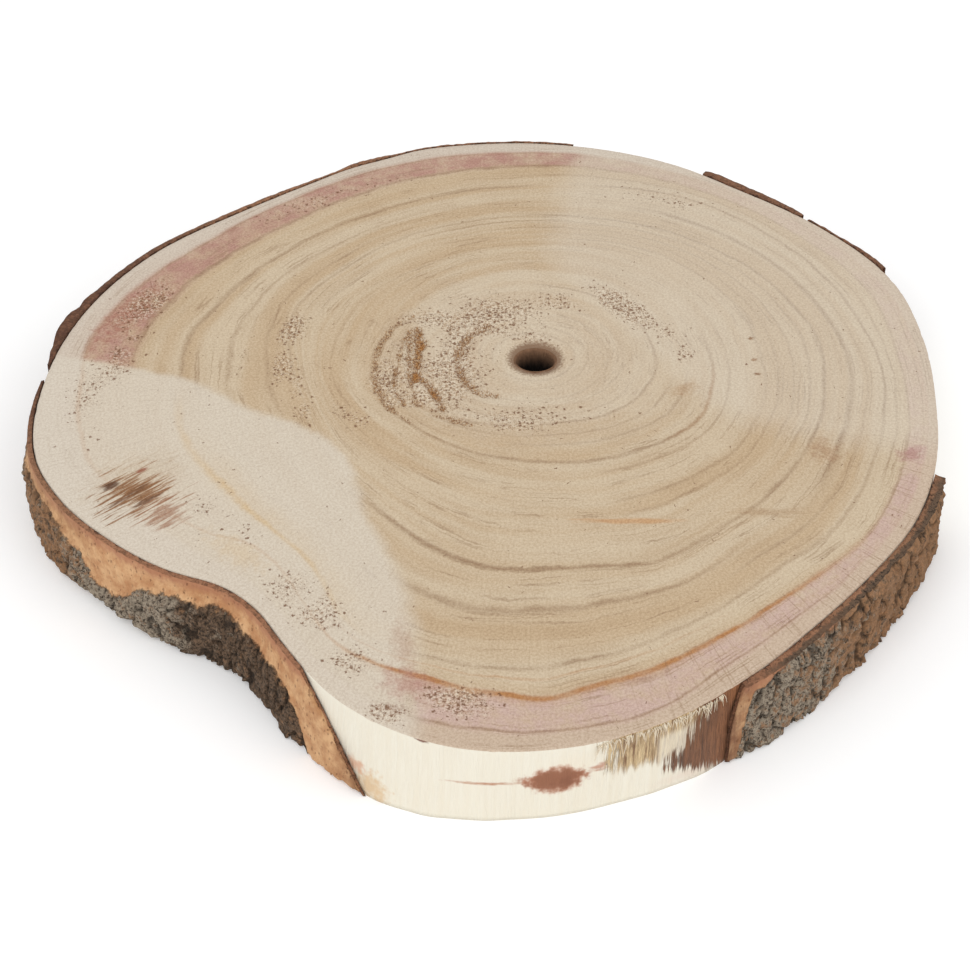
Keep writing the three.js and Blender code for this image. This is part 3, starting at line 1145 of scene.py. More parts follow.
@dataclass(frozen=True)
class SliverFinish:
    """Torn pale fibres."""

    light: tuple = tone(243, 232, 210)
    tan: tuple = tone(210, 180, 142)

    def material(self) -> bpy.types.Material:
        """Builds the material.

        Returns:
            The material.
        """
        material, wiring, shader = new_material("torn_fibre", 0.8)
        place = wiring.place()
        strands = Fibres().place(wiring, Place=place, Across=2.2, Along=0.3)
        share = wiring.times(strands["Value"], 0.6)
        wiring.put(shader.inputs["Base Color"], wiring.mix(share, self.light, self.tan))
        raise_relief(wiring, shader, strands["Height"], 0.1)
        return material


@dataclass(frozen=True)
class BarkFinish:
    """Bark: orange and smooth inside, reddish at the sawn rim, grey and rough outside."""

    orange: tuple = tone(222, 179, 134)
    orange_deep: tuple = tone(188, 137, 96)
    rim: tuple = tone(174, 119, 90)
    dusk: tuple = tone(104, 68, 52)
    rust: tuple = tone(158, 122, 90)
    crust_dark: tuple = tone(56, 46, 37)
    crust_brown: tuple = tone(134, 108, 86)
    lichen: tuple = tone(186, 172, 152)
    # Near black painted shade for the crust's furrows.
    furrow_shade: tuple = tone(30, 23, 17)

    def skin(self) -> bpy.types.Material:
        """Builds the material of the outer side.

        Returns:
            The material.
        """
        material, wiring, shader = new_material("bark_skin", 0.9)
        place = wiring.place()
        smear = Fibres().place(wiring, Place=place, Across=0.8, Along=0.25)
        grit = wiring.noise(place, 0.95, 4.0, 0.78)
        inner = self.bast(wiring, place, smear["Value"], wiring.attribute("under_rim"))
        narrow = wiring.scale(place, (0.9, 0.9, 0.55))
        flecks = Specks().place(wiring, Place=narrow, Density=0.35, Size=0.42)["Mask"]
        inner = wiring.mix(wiring.times(flecks, 0.55), inner, tone(124, 82, 56))

        crust = wiring.mix(wiring.ease(grit, 0.36, 0.64), self.crust_dark, self.crust_brown)
        growth = wiring.times_plus(wiring.attribute("lichen"), 0.36, -0.18)
        spread = wiring.math("ADD", wiring.noise(place, 0.2, 5.0, 0.7), growth)
        grown = wiring.times(wiring.ease(spread, 0.4, 0.58), wiring.ease(grit, 0.36, 0.58))
        crust = wiring.wash(crust, grown, 0.85, self.lichen)
        furrow = wiring.attribute("furrow")
        patches = wiring.noise(place, 0.3, 5.0, 0.72)
        bare = wiring.times_plus(wiring.attribute("worn"), 0.24, patches)
        rusty = wiring.mix(wiring.ease(grit, 0.4, 0.66), self.rust, self.orange_deep)
        crust = wiring.mix(wiring.times(wiring.ease(bare, 0.56, 0.7), 0.85), crust, rusty)
        # Painted shade laid in the furrows of the crust.
        crust = wiring.mix(wiring.times(wiring.ease(furrow, 0.3, 0.95), 0.7), crust, self.furrow_shade)

        edge = wiring.times_plus(wiring.noise(place, 0.55, 5.0, 0.75), 4.4, -2.2)
        covered = wiring.ease(wiring.math("ADD", wiring.attribute("crust"), edge), -0.5, 0.6)
        wiring.put(shader.inputs["Base Color"], wiring.mix(covered, inner, crust))
        rough_height = wiring.times(wiring.times(grit, 1.8), covered)
        height = wiring.times_plus(smear["Height"], 0.3, rough_height)
        height = wiring.times_plus(flecks, -0.3, height)
        raise_relief(wiring, shader, height, 0.7)
        return material

    def cut(self) -> bpy.types.Material:
        """Builds the material of the sawn rim, the broken ends and the inner side, darkened by painted shade
        along the gap to the wood.

        Returns:
            The material.
        """
        material, wiring, shader = new_material("bark_cut", 0.85)
        place = wiring.place()
        smear = Fibres().place(wiring, Place=place, Across=0.8, Along=0.8)
        base = self.bast(wiring, place, smear["Value"], 0.0)
        grain = wiring.noise(place, 1.1, 5.0, 0.75)
        depth = wiring.attribute("depth")
        notch = wiring.times_plus(wiring.noise(place, 0.45, 5.0, 0.8), 3.4, -1.75)
        # Painted shade: a ragged dark strip on the bark's inner side, where it meets the wood, stands in for
        # the shadow in the gap.
        painted_gap_shade = wiring.ease(wiring.math("SUBTRACT", depth, notch), 0.15, -0.1)
        patches = wiring.ease(wiring.noise(place, 0.4, 6.0, 0.8), 0.46, 0.6)
        base = wiring.mix(wiring.times(patches, 0.7), base, tone(112, 80, 58))
        crusted = wiring.ease(wiring.times_plus(grain, 6.0, wiring.attribute("crust")), -0.5, 4.0)
        outer = wiring.ease(wiring.times_plus(notch, 0.5, depth), 0.3, 0.55)
        rough = wiring.mix(wiring.ease(grain, 0.38, 0.6), self.crust_dark, self.crust_brown)
        base = wiring.wash(base, crusted, outer, rough)
        speckle = wiring.times(wiring.ease(grain, 0.52, 0.64), 0.6)
        # Painted gap shade, plus dark specks of grain.
        dark = wiring.times_plus(painted_gap_shade, 0.8, speckle)
        wiring.put(shader.inputs["Base Color"], wiring.mix(dark, base, tone(72, 46, 33)))
        raise_relief(wiring, shader, grain, 1.0)
        return material

    def bast(self, wiring: Wiring, place: Socket, smear: Socket, under: Socket | float) -> Socket:
        """Mottled orange inner bark, with a reddish band under the rim.

        Args:
            wiring: The material's tree.
            place: Place on the object.
            smear: Streaks of the deeper tone.
            under: Distance below the rim.

        Returns:
            The colour.
        """
        patches = wiring.noise(place, 0.16, 5.0, 0.7)
        colour = wiring.mix(wiring.ease(patches, 0.36, 0.64), self.orange, self.orange_deep)
        colour = wiring.wash(colour, smear, 0.35, self.orange_deep)
        blotch = wiring.times_plus(wiring.noise(place, 0.3, 5.0, 0.8), 8.0, -4.0)
        reddish = wiring.ease(wiring.math("ADD", blotch, under), 5.0, 1.0)
        colour = wiring.wash(colour, reddish, 0.8, self.rim)
        rusty = wiring.times(wiring.ease(patches, 0.3, 0.6), wiring.attribute("worn"))
        colour = wiring.wash(colour, rusty, 0.6, self.rust)
        streaked = wiring.times_plus(smear, 0.9, 0.5)
        dusk = wiring.times(wiring.attribute("dusk"), streaked, clamp=True)
        return wiring.mix(dusk, colour, self.dusk)


@dataclass
class Outline:
    """The disc's shape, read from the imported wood."""

    node: str = "wood"
    hollow_reach: float = 15.0
    pith: tuple[float, float] = field(init=False)
    top: float = field(init=False)
    upper: Stations = field(init=False)
    lower: Stations = field(init=False)
    waist: Stations = field(init=False)
    mouth: Stations = field(init=False)

    def __post_init__(self) -> None:
        """Reads the pith from the record's opening, and the edges from the node's mesh."""
        low, high = np.array(frame["record"]["physics"]["openings"][0]["box_m"]) / MM
        middle = (low + high) / 2
        self.pith = (float(middle[0]), float(middle[1]))
        self.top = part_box(self.node)[1].z / MM
        points = np.array([v.co for v in frame["nodes"][self.node].data.vertices]) / MM
        self.upper = self.loop(points, self.top, True)
        self.lower = self.loop(points, 0.0, True)
        self.waist = self.loop(points, self.top / 2, False)
        self.mouth = self.loop(points, self.top, False)

    def loop(self, points: np.ndarray, height: float, outside: bool) -> Stations:
        """Finds the ring of vertices at a height.

        Args:
            points: The node's vertices.
            height: Height of the ring.
            outside: Whether it is on the edge, and not in the hollow.

        Returns:
            Bearing and radius of each vertex, by rising bearing.
        """
        level = points[np.abs(points[:, 2] - height) < 0.01]
        offset = level[:, :2] - self.pith
        radius = np.hypot(offset[:, 0], offset[:, 1])
        kept = (radius > self.hollow_reach) == outside
        bearing = np.mod(np.degrees(np.arctan2(offset[kept, 1], offset[kept, 0])), 360)
        table = {round(float(b), 2): float(r) for b, r in zip(bearing, radius[kept])}
        return tuple(sorted(table.items()))

    def edge(self, bearings: np.ndarray, heights: np.ndarray | float) -> np.ndarray:
        """Radius of the edge.

        Args:
            bearings: Bearings in degrees.
            heights: Heights in millimetres.

        Returns:
            The radius at each.
        """
        share = np.asarray(heights) / self.top
        return closed_curve(self.lower, bearings) * (1 - share) + closed_curve(self.upper, bearings) * share

    def place(self, bearings: np.ndarray, radii: np.ndarray, heights: np.ndarray | float) -> np.ndarray:
        """Points at bearings, radii and heights.

        Args:
            bearings: Bearings in degrees.
            radii: Distances from the pith.
            heights: Heights in millimetres.

        Returns:
            One point to a row.
        """
        angle = np.radians(bearings)
        x = self.pith[0] + radii * np.cos(angle)
        y = self.pith[1] + radii * np.sin(angle)
        return np.stack([x, y, np.broadcast_to(heights, x.shape)], axis=-1).reshape(-1, 3)


@dataclass
class RingField:
    """Growth rings that turn from round at the pith into the outline at the edge.

    Each key ring is a value and the closed curve that it follows, as bearing and radius.
    """

    outline: Outline
    edge_value: float = 150.0
    keys: tuple[tuple[float, Stations], ...] = (
        (24.0, ((0, 24.0), (90, 26.0), (180, 27.0), (270, 22.5))),
        (41.0, ((0, 41.5), (60, 41.5), (80, 42), (140, 45), (200, 46), (240, 40), (260, 37),
                (285, 36), (320, 39.5))),
        (59.0, ((0, 60), (60, 60.5), (110, 59.5), (160, 57.5), (190, 60.3), (210, 58), (222, 55),
                (250, 54), (280, 55), (300, 58.5), (320, 62), (335, 63))),
        (75.0, ((0, 78), (40, 77), (60, 76), (80, 72), (110, 70.5), (140, 72), (160, 75),
                (180, 74.5), (210, 72.5), (235, 72), (270, 77), (300, 79), (320, 81), (340, 80))),
        (95.0, ((0, 99), (20, 96.5), (40, 93), (60, 90), (80, 86.5), (110, 86), (140, 86.5),
                (160, 89), (180, 84.5), (195, 82), (210, 84), (240, 95), (250, 101.5), (259, 106),
                (270, 105.5), (280, 106), (290, 109), (305, 104), (320, 102), (335, 100))),
        (118.0, ((0, 118), (15, 115), (40, 113.5), (60, 113), (80, 107.5), (100, 105), (120, 105),
                 (140, 108), (160, 114), (178, 121), (200, 124), (218, 121.5), (230, 123),
                 (238, 129), (244, 140), (250, 147), (258, 149.5), (268, 150), (280, 144),
                 (300, 131), (320, 127), (340, 121))),
        (128.0, ((0, 125), (20, 125), (40, 121.5), (83, 119.5), (110, 119), (133, 120), (150, 125),
                 (160, 131), (180, 138), (200, 141), (215, 142.5), (220, 138.5), (225, 132.5),
                 (230, 132), (236, 137), (245, 151), (251, 155.5), (258, 157.5), (264, 160),
                 (270, 161.5), (275, 158), (285, 151), (300, 141), (320, 137), (340, 130))),
        (140.0, ((0, 131.5), (20, 131), (40, 127), (60, 126.5), (83, 127.5), (100, 128.5),
                 (120, 130), (135, 131.5), (155, 140), (170, 151), (180, 154.8), (197, 156),
                 (206, 153.5), (218, 147), (230, 143), (238, 149), (245, 160), (251, 168),
                 (258, 174), (265, 175), (272, 174.5), (280, 171), (290, 158), (300, 150),
                 (313, 144), (325, 141), (340, 136))),
    )

    def read(self, bearings: np.ndarray, radii: np.ndarray) -> np.ndarray:
        """Reads the field.

        Args:
            bearings: Bearings in degrees.
            radii: Distances from the pith.

        Returns:
            The ring value at each place.
        """
        inner = closed_curve(self.outline.waist, bearings)
        curves = [np.zeros_like(inner), inner]
        curves += [closed_curve(stations, bearings) for _, stations in self.keys]
        curves.append(closed_curve(self.outline.upper, bearings))
        values = [0.0, float(inner.mean())] + [value for value, _ in self.keys] + [self.edge_value]
        result = np.full(len(radii), self.edge_value)
        for first, last, low, high in zip(curves, curves[1:], values, values[1:]):
            inside = (radii >= first) & (radii < last)
            result[inside] = low + (high - low) * ((radii - first) / (last - first))[inside]
        return result


@dataclass(frozen=True)
class Blot:
    """An oval patch on the face, in which pores are open or the wood is torn.

    Attributes:
        centre: Its centre.
        reach: Half of its length and of its width.
        turn: Degrees that its length is turned from +X.
        amount: How strong it is at its centre.
        depth: How deep it is torn, in millimetres.
    """

    centre: tuple[float, float]
    reach: tuple[float, float]
    turn: float
    amount: float
    depth: float = 0.0

    def weight(self, places: np.ndarray) -> np.ndarray:
        """Weight of the patch at each place.

        Args:
            places: Points, one to a row.

        Returns:
            A share from 0 to 1.
        """
        angle = math.radians(self.turn)
        offset = places[:, :2] - self.centre
        along = (offset @ (math.cos(angle), math.sin(angle))) / self.reach[0]
        across = (offset @ (-math.sin(angle), math.cos(angle))) / self.reach[1]
        return 1 - smooth(np.hypot(along, across), 0.25, 1.0)


def signed_distance(places: np.ndarray, line: Stations, run_on: float = 3.0) -> np.ndarray:
    """Distance to a smooth line, positive on the left of its direction.

    Args:
        places: Points, one to a row.
        line: Points that the line passes, in order.
        run_on: How far the line runs on at its ends, as a share of its first and last stretch.

    Returns:
        The signed distance at each place.
    """
    table = np.array(line, float)
    ends = np.vstack([2 * table[0] - table[1], table, 2 * table[-1] - table[-2]])
    pieces = []
    for index in range(1, len(ends) - 2):
        before, start, finish, after = ends[index - 1 : index + 3]
        t = np.linspace(0, 1, 8, endpoint=False)[:, None]
        bend = (2 * before - 5 * start + 4 * finish - after) * t**2
        twist = (3 * start - before - 3 * finish + after) * t**3
        pieces.append(0.5 * (2 * start + (finish - before) * t + bend + twist))
    first = table[0] - run_on * (table[1] - table[0])
    last = table[-1] + run_on * (table[-1] - table[-2])
    curve = np.vstack([first, *pieces, table[-1], last])
    best = np.full(len(places), np.inf)
    signed = np.zeros(len(places))
    for start, finish in zip(curve, curve[1:]):
        along = finish - start
        offset = places[:, :2] - start
        share = np.clip(offset @ along / (along @ along), 0, 1)
        gap = np.hypot(*(offset - share[:, None] * along).T)
        side = np.sign(along[0] * offset[:, 1] - along[1] * offset[:, 0])
        closer = gap < best
        best[closer] = gap[closer]
        signed[closer] = (gap * side)[closer]
    return signed


@dataclass(frozen=True)
class Tear:
    """A line along which the face is torn out.

    Attributes:
        line: Points that it passes.
        half: Half of its width.
        amount: How torn it is in its middle, from 0 to 1.
        depth: How deep it is, in millimetres.
    """

    line: Stations
    half: float
    amount: float
    depth: float

    def weight(self, places: np.ndarray, wobble: np.ndarray) -> np.ndarray:
        """Weight of the tear at each place, with its edge moved by the wobble."""
        away = np.abs(signed_distance(places, self.line, 0.3)) + wobble
        return 1 - smooth(away, 0.0, 1.4 * self.half)


def make_object(name: str, points: np.ndarray, faces: list) -> bpy.types.Object:
    """Makes a smooth mesh object from points in millimetres.

    Args:
        name: The object's name.
        points: One point to a row.
        faces: Lists of point indices.

    Returns:
        The object, linked to the scene.
    """
    mesh = bpy.data.meshes.new(name)
    mesh.from_pydata((points * MM).tolist(), [], faces)
    mesh.polygons.foreach_set("use_smooth", np.ones(len(mesh.polygons), bool))
    thing = bpy.data.objects.new(name, mesh)
    bpy.context.scene.collection.objects.link(thing)
    return thing


def store(mesh: bpy.types.Mesh, name: str, values: np.ndarray) -> None:
    """Stores a value for each vertex.

    Args:
        mesh: The mesh.
        name: Name of the value.
        values: One value for each vertex.
    """
    mesh.attributes.new(name, "FLOAT", "POINT").data.foreach_set("value", values.astype(np.float32))


@dataclass
class WoodDisc:
    """The disc of wood, with its pith hollow, as one fine closed mesh."""

    outline: Outline
    rings: RingField
    columns: int = 768
    zone_reach: tuple[float, ...] = (15.0, 30.0, 68.0)
    zone_step: tuple[float, ...] = (0.75, 0.75, 0.72)
    outer_rows: int = 52
    wall_rows: int = 19
    bottom_rows: tuple[int, ...] = (5, 6, 14)
    rim_round: float = 0.45
    lip_depth: float = 2.4
    grain: Grain = field(default_factory=lambda: Grain(11))
    pale_left: Stations = (
        (-20, -134.7), (-22, -99.7), (-38, -54.7), (-45, -29.7),
        (-60, -14.7), (-80, -4.7), (-100, 10.3), (-135, 20.3),
    )
    pale_right: Stations = (
        (35, 155.3), (25, 105.3), (25, 70.3), (60, 15.3), (80, -9.7), (120, -24.7), (140, -27.7),
    )
    pit_patches: tuple[Blot, ...] = (
        Blot((-16, 14), (38, 26), 84, 0.6),
        Blot((-5, 44), (36, 17), 14, 0.65),
        Blot((16, -10), (30, 9), 8, 0.3),
        Blot((12, 36), (20, 7), -14, 0.45),
        Blot((-30, 12), (32, 11), 78, 0.85),
        Blot((-8, 20), (20, 9), 84, 0.8),
        Blot((52, 50), (28, 9), -42, 0.8),
        Blot((66, 30), (16, 6), -66, 0.6),
        Blot((28, 54), (16, 7), -10, 0.5),
        Blot((-67, 30), (30, 6.5), 84, 0.95),
        Blot((-62, 2), (22, 4), 104, 0.6),
        Blot((-84, 20), (18, 3), 74, 0.45),
        Blot((-40, -12), (22, 5), -42, 0.4),
        Blot((6, -12), (26, 8), -8, 0.4),
        Blot((-122, 26), (28, 9), 74, 0.7),
        Blot((-120, 52), (26, 9), 62, 0.9),
        Blot((-132, -2), (30, 12), 88, 0.3),
        Blot((-54, -98), (26, 12), -52, 0.45),
        Blot((-52, -104), (16, 6), -52, 0.8),
        Blot((-82, -62), (22, 8), -40, 0.25),
        Blot((-40, -124), (12, 7), -30, 0.6),
        Blot((-6, -142), (22, 9), -4, 0.8),
        Blot((-28, -146), (9, 6), -20, 0.6),
        Blot((-60, 118), (50, 7), 26, 0.3),
        Blot((70, 118), (30, 7), -25, 0.25),
    )
    tears: tuple[Tear, ...] = (
        Tear(((-22.6, 36), (-21.4, 29), (-22.6, 20), (-23.0, 13)), 2.3, 1.0, 1.2),
        Tear(((-24.6, 17), (-21.5, 12), (-16.5, 2.5), (-14.0, -4.0)), 1.8, 0.9, 1.0),
        Tear(((-21.0, -4), (-13, -10), (-6, -13)), 1.8, 0.45, 0.4),
        Tear(
            ((-26, 44), (-32.1, 37.6), (-36.3, 26.2), (-37.1, 12.4), (-34.7, 1.5), (-31.2, -5.4), (-26, -11)),
            1.3, 0.62, 0.7,
        ),
        Tear(((-26, 35), (-28.0, 29.1), (-29.1, 17.9), (-30.2, 6.9), (-27.5, -1.0)), 1.2, 0.66, 0.7),
        Tear(((-25.6, 29.1), (-25.4, 14.0), (-23.8, 5.3), (-22.5, -1.2)), 1.2, 0.66, 0.7),
        Tear(
            ((-0.4, 38), (-5.2, 33.6), (-8.3, 25.1), (-8.6, 17.9), (-6.1, 9.6), (-1.7, 3.1), (3, 1.5)),
            1.9, 0.68, 0.8,
        ),
    )

    def build(self) -> bpy.types.Object:
        """Builds the disc and everything that its mesh holds.

        Returns:
            The disc.
        """
        bands = self.lay_out()
        points = np.vstack([band[0] for band in bands])
        faces, sections = self.skin([len(band[0]) for band in bands], [band[1] for band in bands])
        disc = make_object("wood_disc", points, faces)
        mesh = disc.data
        offset = points[:, :2] - self.outline.pith
        bearing = np.degrees(np.arctan2(offset[:, 1], offset[:, 0]))
        radius = np.hypot(offset[:, 0], offset[:, 1])
        tears = self.tears_at(points)
        store(mesh, "ring", self.rings.read(bearing, radius))
        store(mesh, "haze_left", signed_distance(points, self.pale_left))
        store(mesh, "haze_right", signed_distance(points, self.pale_right))
        store(mesh, "pits", self.pits_at(points))
        store(mesh, "gouge", tears[0])
        self.sink(mesh, points, bearing, radius, tears[1])
        for finish in (HollowFinish(), SawnFinish(self.outline.pith), EdgeFinish(self.outline.pith)):
            mesh.materials.append(finish.material())
        mesh.polygons.foreach_set("material_index", sections)
        self.unwrap(mesh, sections)
        return disc

    def lay_out(self) -> list[tuple[np.ndarray, Section]]:
        """Lays out the loops of points: up the hollow, out over the top, down the edge and back below.

        Returns:
            Each loop's points, and the section that it opens.
        """
        shape = self.outline
        counts = [self.columns // 8, self.columns // 4, self.columns // 2, self.columns]
        bearings = {count: np.arange(count) * 360 / count for count in counts}
        loops = []
        small = bearings[counts[0]]
        waist, mouth = closed_curve(shape.waist, small), closed_curve(shape.mouth, small)
        for height in np.concatenate([[0.0, 0.8, 2, 4, 7], np.linspace(10, 20, 4), [23, 26, 28, 29.2]]):
            gap = min(height, shape.top - height)
            flare = (mouth - waist) * math.exp(-gap / self.lip_depth)
            loops.append((shape.place(small, waist + flare, height), Section.HOLLOW))
        reach = float(mouth.mean())
        for count, zone_end, step in zip(counts, self.zone_reach, self.zone_step):
            rows = max(2, round((zone_end - reach) / step))
            for distance in np.linspace(reach, zone_end, rows, endpoint=False):
                radii = self.blend(bearings[count], distance)
                loops.append((shape.place(bearings[count], radii, shape.top), Section.SAWN))
            reach = zone_end
        wide = bearings[self.columns]
        start, rim = self.blend(wide, reach), shape.edge(wide, shape.top)
        shares = np.linspace(0, 1, self.outer_rows, endpoint=False)
        for share in shares:
            reach = start + (rim - self.rim_round - start) * share
            loops.append((shape.place(wide, reach, shape.top), Section.SAWN))
        loops.append((shape.place(wide, rim - self.rim_round, shape.top), Section.SAWN))
        for height in np.linspace(shape.top, 0, self.wall_rows + 1):
            loops.append((shape.place(wide, shape.edge(wide, height), height), Section.EDGE))
        foot = shape.edge(wide, 0.0)
        loops[-1] = (shape.place(wide, foot, 0.0), Section.SAWN)
        inner_ends = [*self.zone_reach, float(foot.mean())]
        for count, rows, near, far in zip(
            reversed(counts[:-1]), reversed(self.bottom_rows), inner_ends[2::-1], [None, 72.0, 36.0]
        ):
            here = bearings[count]
            outer = shape.edge(here, 0.0) - 1.5 if far is None else np.full(count, far)
            goal = float(mouth.mean()) + 1.0 if count == counts[0] else near
            for share in np.linspace(0, 1, rows, endpoint=False):
                loops.append((shape.place(here, outer + (goal - outer) * share, 0.0), Section.SAWN))
        return loops

    def blend(self, bearings: np.ndarray, distance: float) -> np.ndarray:
        """Radius of a loop on the top: it follows the mouth near the pith, and is round further out.

        Args:
            bearings: Bearings in degrees.
            distance: The loop's mean radius.

        Returns:
            The radius at each bearing.
        """
        mouth = closed_curve(self.outline.mouth, bearings)
        share = float(smooth(np.array([distance]), mouth.mean(), self.zone_reach[0])[0])
        return (mouth + distance - mouth.mean()) * (1 - share) + distance * share

    def skin(self, counts: list[int], kinds: list[Section]) -> tuple[list, np.ndarray]:
        """Joins the loops, the last one to the first.

        Args:
            counts: Number of points in each loop.
            kinds: Section that each loop opens.

        Returns:
            The faces, and the section number of each.
        """
        starts = np.concatenate([[0], np.cumsum(counts)])
        faces, sections = [], []
        for index, (count, kind) in enumerate(zip(counts, kinds)):
            following = (index + 1) % len(counts)
            here = starts[index] + np.arange(count)
            there = starts[following] + np.arange(counts[following])
            added = self.join(here, there)
            faces.extend(added)
            sections.extend([kind.value] * len(added))
        return faces, np.array(sections)

    @staticmethod
    def join(here: np.ndarray, there: np.ndarray) -> list:
        """Joins two loops, of one count or with one twice as fine.

        Args:
            here: Point indices of the first loop.
            there: Point indices of the second loop.

        Returns:
            The faces between them.
        """
        if len(here) == len(there):
            return np.stack([here, there, np.roll(there, -1), np.roll(here, -1)], axis=1).tolist()
        flip = len(here) > len(there)
        few, many = (there, here) if flip else (here, there)
        even, odd, next_even = many[0::2], many[1::2], np.roll(many[0::2], -1)
        after = np.roll(few, -1)
        fan = np.concatenate(
            [
                np.stack(corners, 1)
                for corners in ((few, even, odd), (few, odd, after), (after, odd, next_even))
            ]
        )
        return (fan[:, ::-1] if flip else fan).tolist()

    def pits_at(self, points: np.ndarray) -> np.ndarray:
        """Density of the open pores.

        Args:
            points: The mesh's points.

        Returns:
            A density from 0 to 1 for each.
        """
        density = np.zeros(len(points))
        for patch in self.pit_patches:
            density = np.maximum(density, patch.amount * patch.weight(points))
        clump = smooth(self.grain.rough(points, 9.0, 2), -0.5, 0.4)
        return np.where(points[:, 2] > self.outline.top - 1, density * clump, 0.0)

    def tears_at(self, points: np.ndarray) -> tuple[np.ndarray, np.ndarray]:
        """Where the face is torn out.

        Args:
            points: The mesh's points.

        Returns:
            How torn each point is, and how deep.
        """
        on_top = points[:, 2] > self.outline.top - 1
        torn, depth = np.zeros(len(points)), np.zeros(len(points))
        ragged = 0.4 + 0.6 * smooth(self.grain.rough(points, 2.6, 3), -0.5, 0.3)
        wobble = 1.5 * self.grain.rough(points + 57.0, 3.4, 3)
        for tear in self.tears:
            weight = tear.weight(points, wobble) * ragged
            torn = np.maximum(torn, tear.amount * weight)
            depth = np.maximum(depth, tear.depth * weight)
        return torn * on_top, depth * on_top

    def sink(
        self,
        mesh: bpy.types.Mesh,
        points: np.ndarray,
        bearing: np.ndarray,
        radius: np.ndarray,
        tears: np.ndarray,
    ) -> None:
        """Gives the skin its real relief, which only goes inwards.

        Args:
            mesh: The disc's mesh.
            points: Its points.
            bearing: Bearing of each point.
            radius: Distance of each point from the pith.
            tears: Depth of the torn places.
        """
        shape = self.outline
        on_top = points[:, 2] > shape.top - 0.01
        pits = smooth(self.grain.at(points, 1.7), 0.25, 0.8) * self.pits_at(points)
        fuzz = 0.5 + 0.5 * self.grain.rough(points, 1.6, 2)
        swell = 0.5 + 0.5 * self.grain.at(points, 14.0)
        wear = np.exp(-np.maximum(radius - closed_curve(shape.mouth, bearing), 0) / 1.8)
        drop = 0.07 * fuzz + 0.12 * swell + 0.9 * pits + tears + (0.7 + 0.6 * fuzz) * wear
        rim = shape.edge(bearing, shape.top)
        outside = on_top & (radius > rim - 0.05)
        notch = smooth(self.grain.rough(points, 3.2, 3), 0.15, 0.6)
        drop = np.where(outside, 0.28 + 0.5 * notch + 0.1 * fuzz, drop)
        points = points.copy()
        points[on_top, 2] -= drop[on_top]
        at_edge = radius > np.maximum(shape.edge(bearing, points[:, 2]) - 0.05, shape.hollow_reach)
        fibre = 0.5 + 0.5 * self.grain.at(points, (1.7, 1.7, 16.0))
        turn = np.mod(bearing, 360)
        torn = smooth(turn, 275.0, 277.0) * (1 - smooth(turn, 288.5, 290.0)) * smooth(points[:, 2], 9.0, 17.0)
        inset = (0.03 + 0.32 * torn) * fibre + 0.08 * swell * smooth(points[:, 2], 0, 3)
        inside = (at_edge & (points[:, 2] > 0.01)).astype(float) * inset
        direction = (points[:, :2] - shape.pith) / np.maximum(radius, 1e-6)[:, None]
        points[:, :2] -= direction * inside[:, None]
        hollow = (radius < shape.hollow_reach) & (points[:, 2] > 0.5) & (points[:, 2] < shape.top - 0.5)
        points[:, :2] += direction * (0.25 * fuzz * hollow)[:, None]
        low, high = (np.array(corner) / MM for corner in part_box(shape.node))
        points = np.clip(points, low, high)
        mesh.vertices.foreach_set("co", (points * MM).astype(np.float32).ravel())
        mesh.update()

    def unwrap(self, mesh: bpy.types.Mesh, sections: np.ndarray) -> None:
        """Lays the skin out flat: the top, the underside, and the edge in three strips.

        Args:
            mesh: The disc's mesh.
            sections: Section number of each face.
        """
        count = len(mesh.loops)
        vertex = np.zeros(count, np.int32)
        mesh.loops.foreach_get("vertex_index", vertex)
        sides = np.zeros(len(mesh.polygons), np.int32)
        mesh.polygons.foreach_get("loop_total", sides)
        face = np.repeat(np.arange(len(sides)), sides)
        points = np.zeros(len(mesh.vertices) * 3, np.float32)
        mesh.vertices.foreach_get("co", points)
        points = points.reshape(-1, 3)[vertex] / MM
        height = points[:, 2]
        lowest = np.full(len(sides), np.inf)
        np.minimum.at(lowest, face, height)
        reach = 168.0
        flat = np.stack([points[:, 0] + reach, points[:, 1] + reach], 1) / (2 * reach)
        layout = flat * 0.68 + 0.005
        under = lowest[face] < self.outline.top / 2
        layout[under] = flat[under] * 0.29 + (0.70, 0.01)
        away = points[:, :2] - self.outline.pith
        turn = np.mod(np.degrees(np.arctan2(away[:, 1], away[:, 0])), 360)
        least = np.full(len(sides), np.inf)
        most = np.zeros(len(sides))
        np.minimum.at(least, face, turn)
        np.maximum.at(most, face, turn)
        turn = np.where((most - least > 180)[face] & (turn < 180), turn + 360, turn)
        least = np.full(len(sides), np.inf)
        np.minimum.at(least, face, turn)
        strip = np.minimum((least + 0.01) // 120, 2)[face]
        on_edge = (sections == Section.EDGE.value)[face]
        run = (turn - 120 * strip) / 121.0 * 0.68
        across = 0.70 + 0.085 * strip + 0.075 * height / self.outline.top
        layout[on_edge] = np.stack([run + 0.005, across], 1)[on_edge]
        in_hollow = (sections == Section.HOLLOW.value)[face]
        hole = np.stack([0.70 + 0.28 * turn / 365, 0.4 + 0.15 * height / self.outline.top], 1)
        layout[in_hollow] = hole[in_hollow]
        mesh.uv_layers.new(name="OFBake").data.foreach_set("uv", layout.astype(np.float32).ravel())


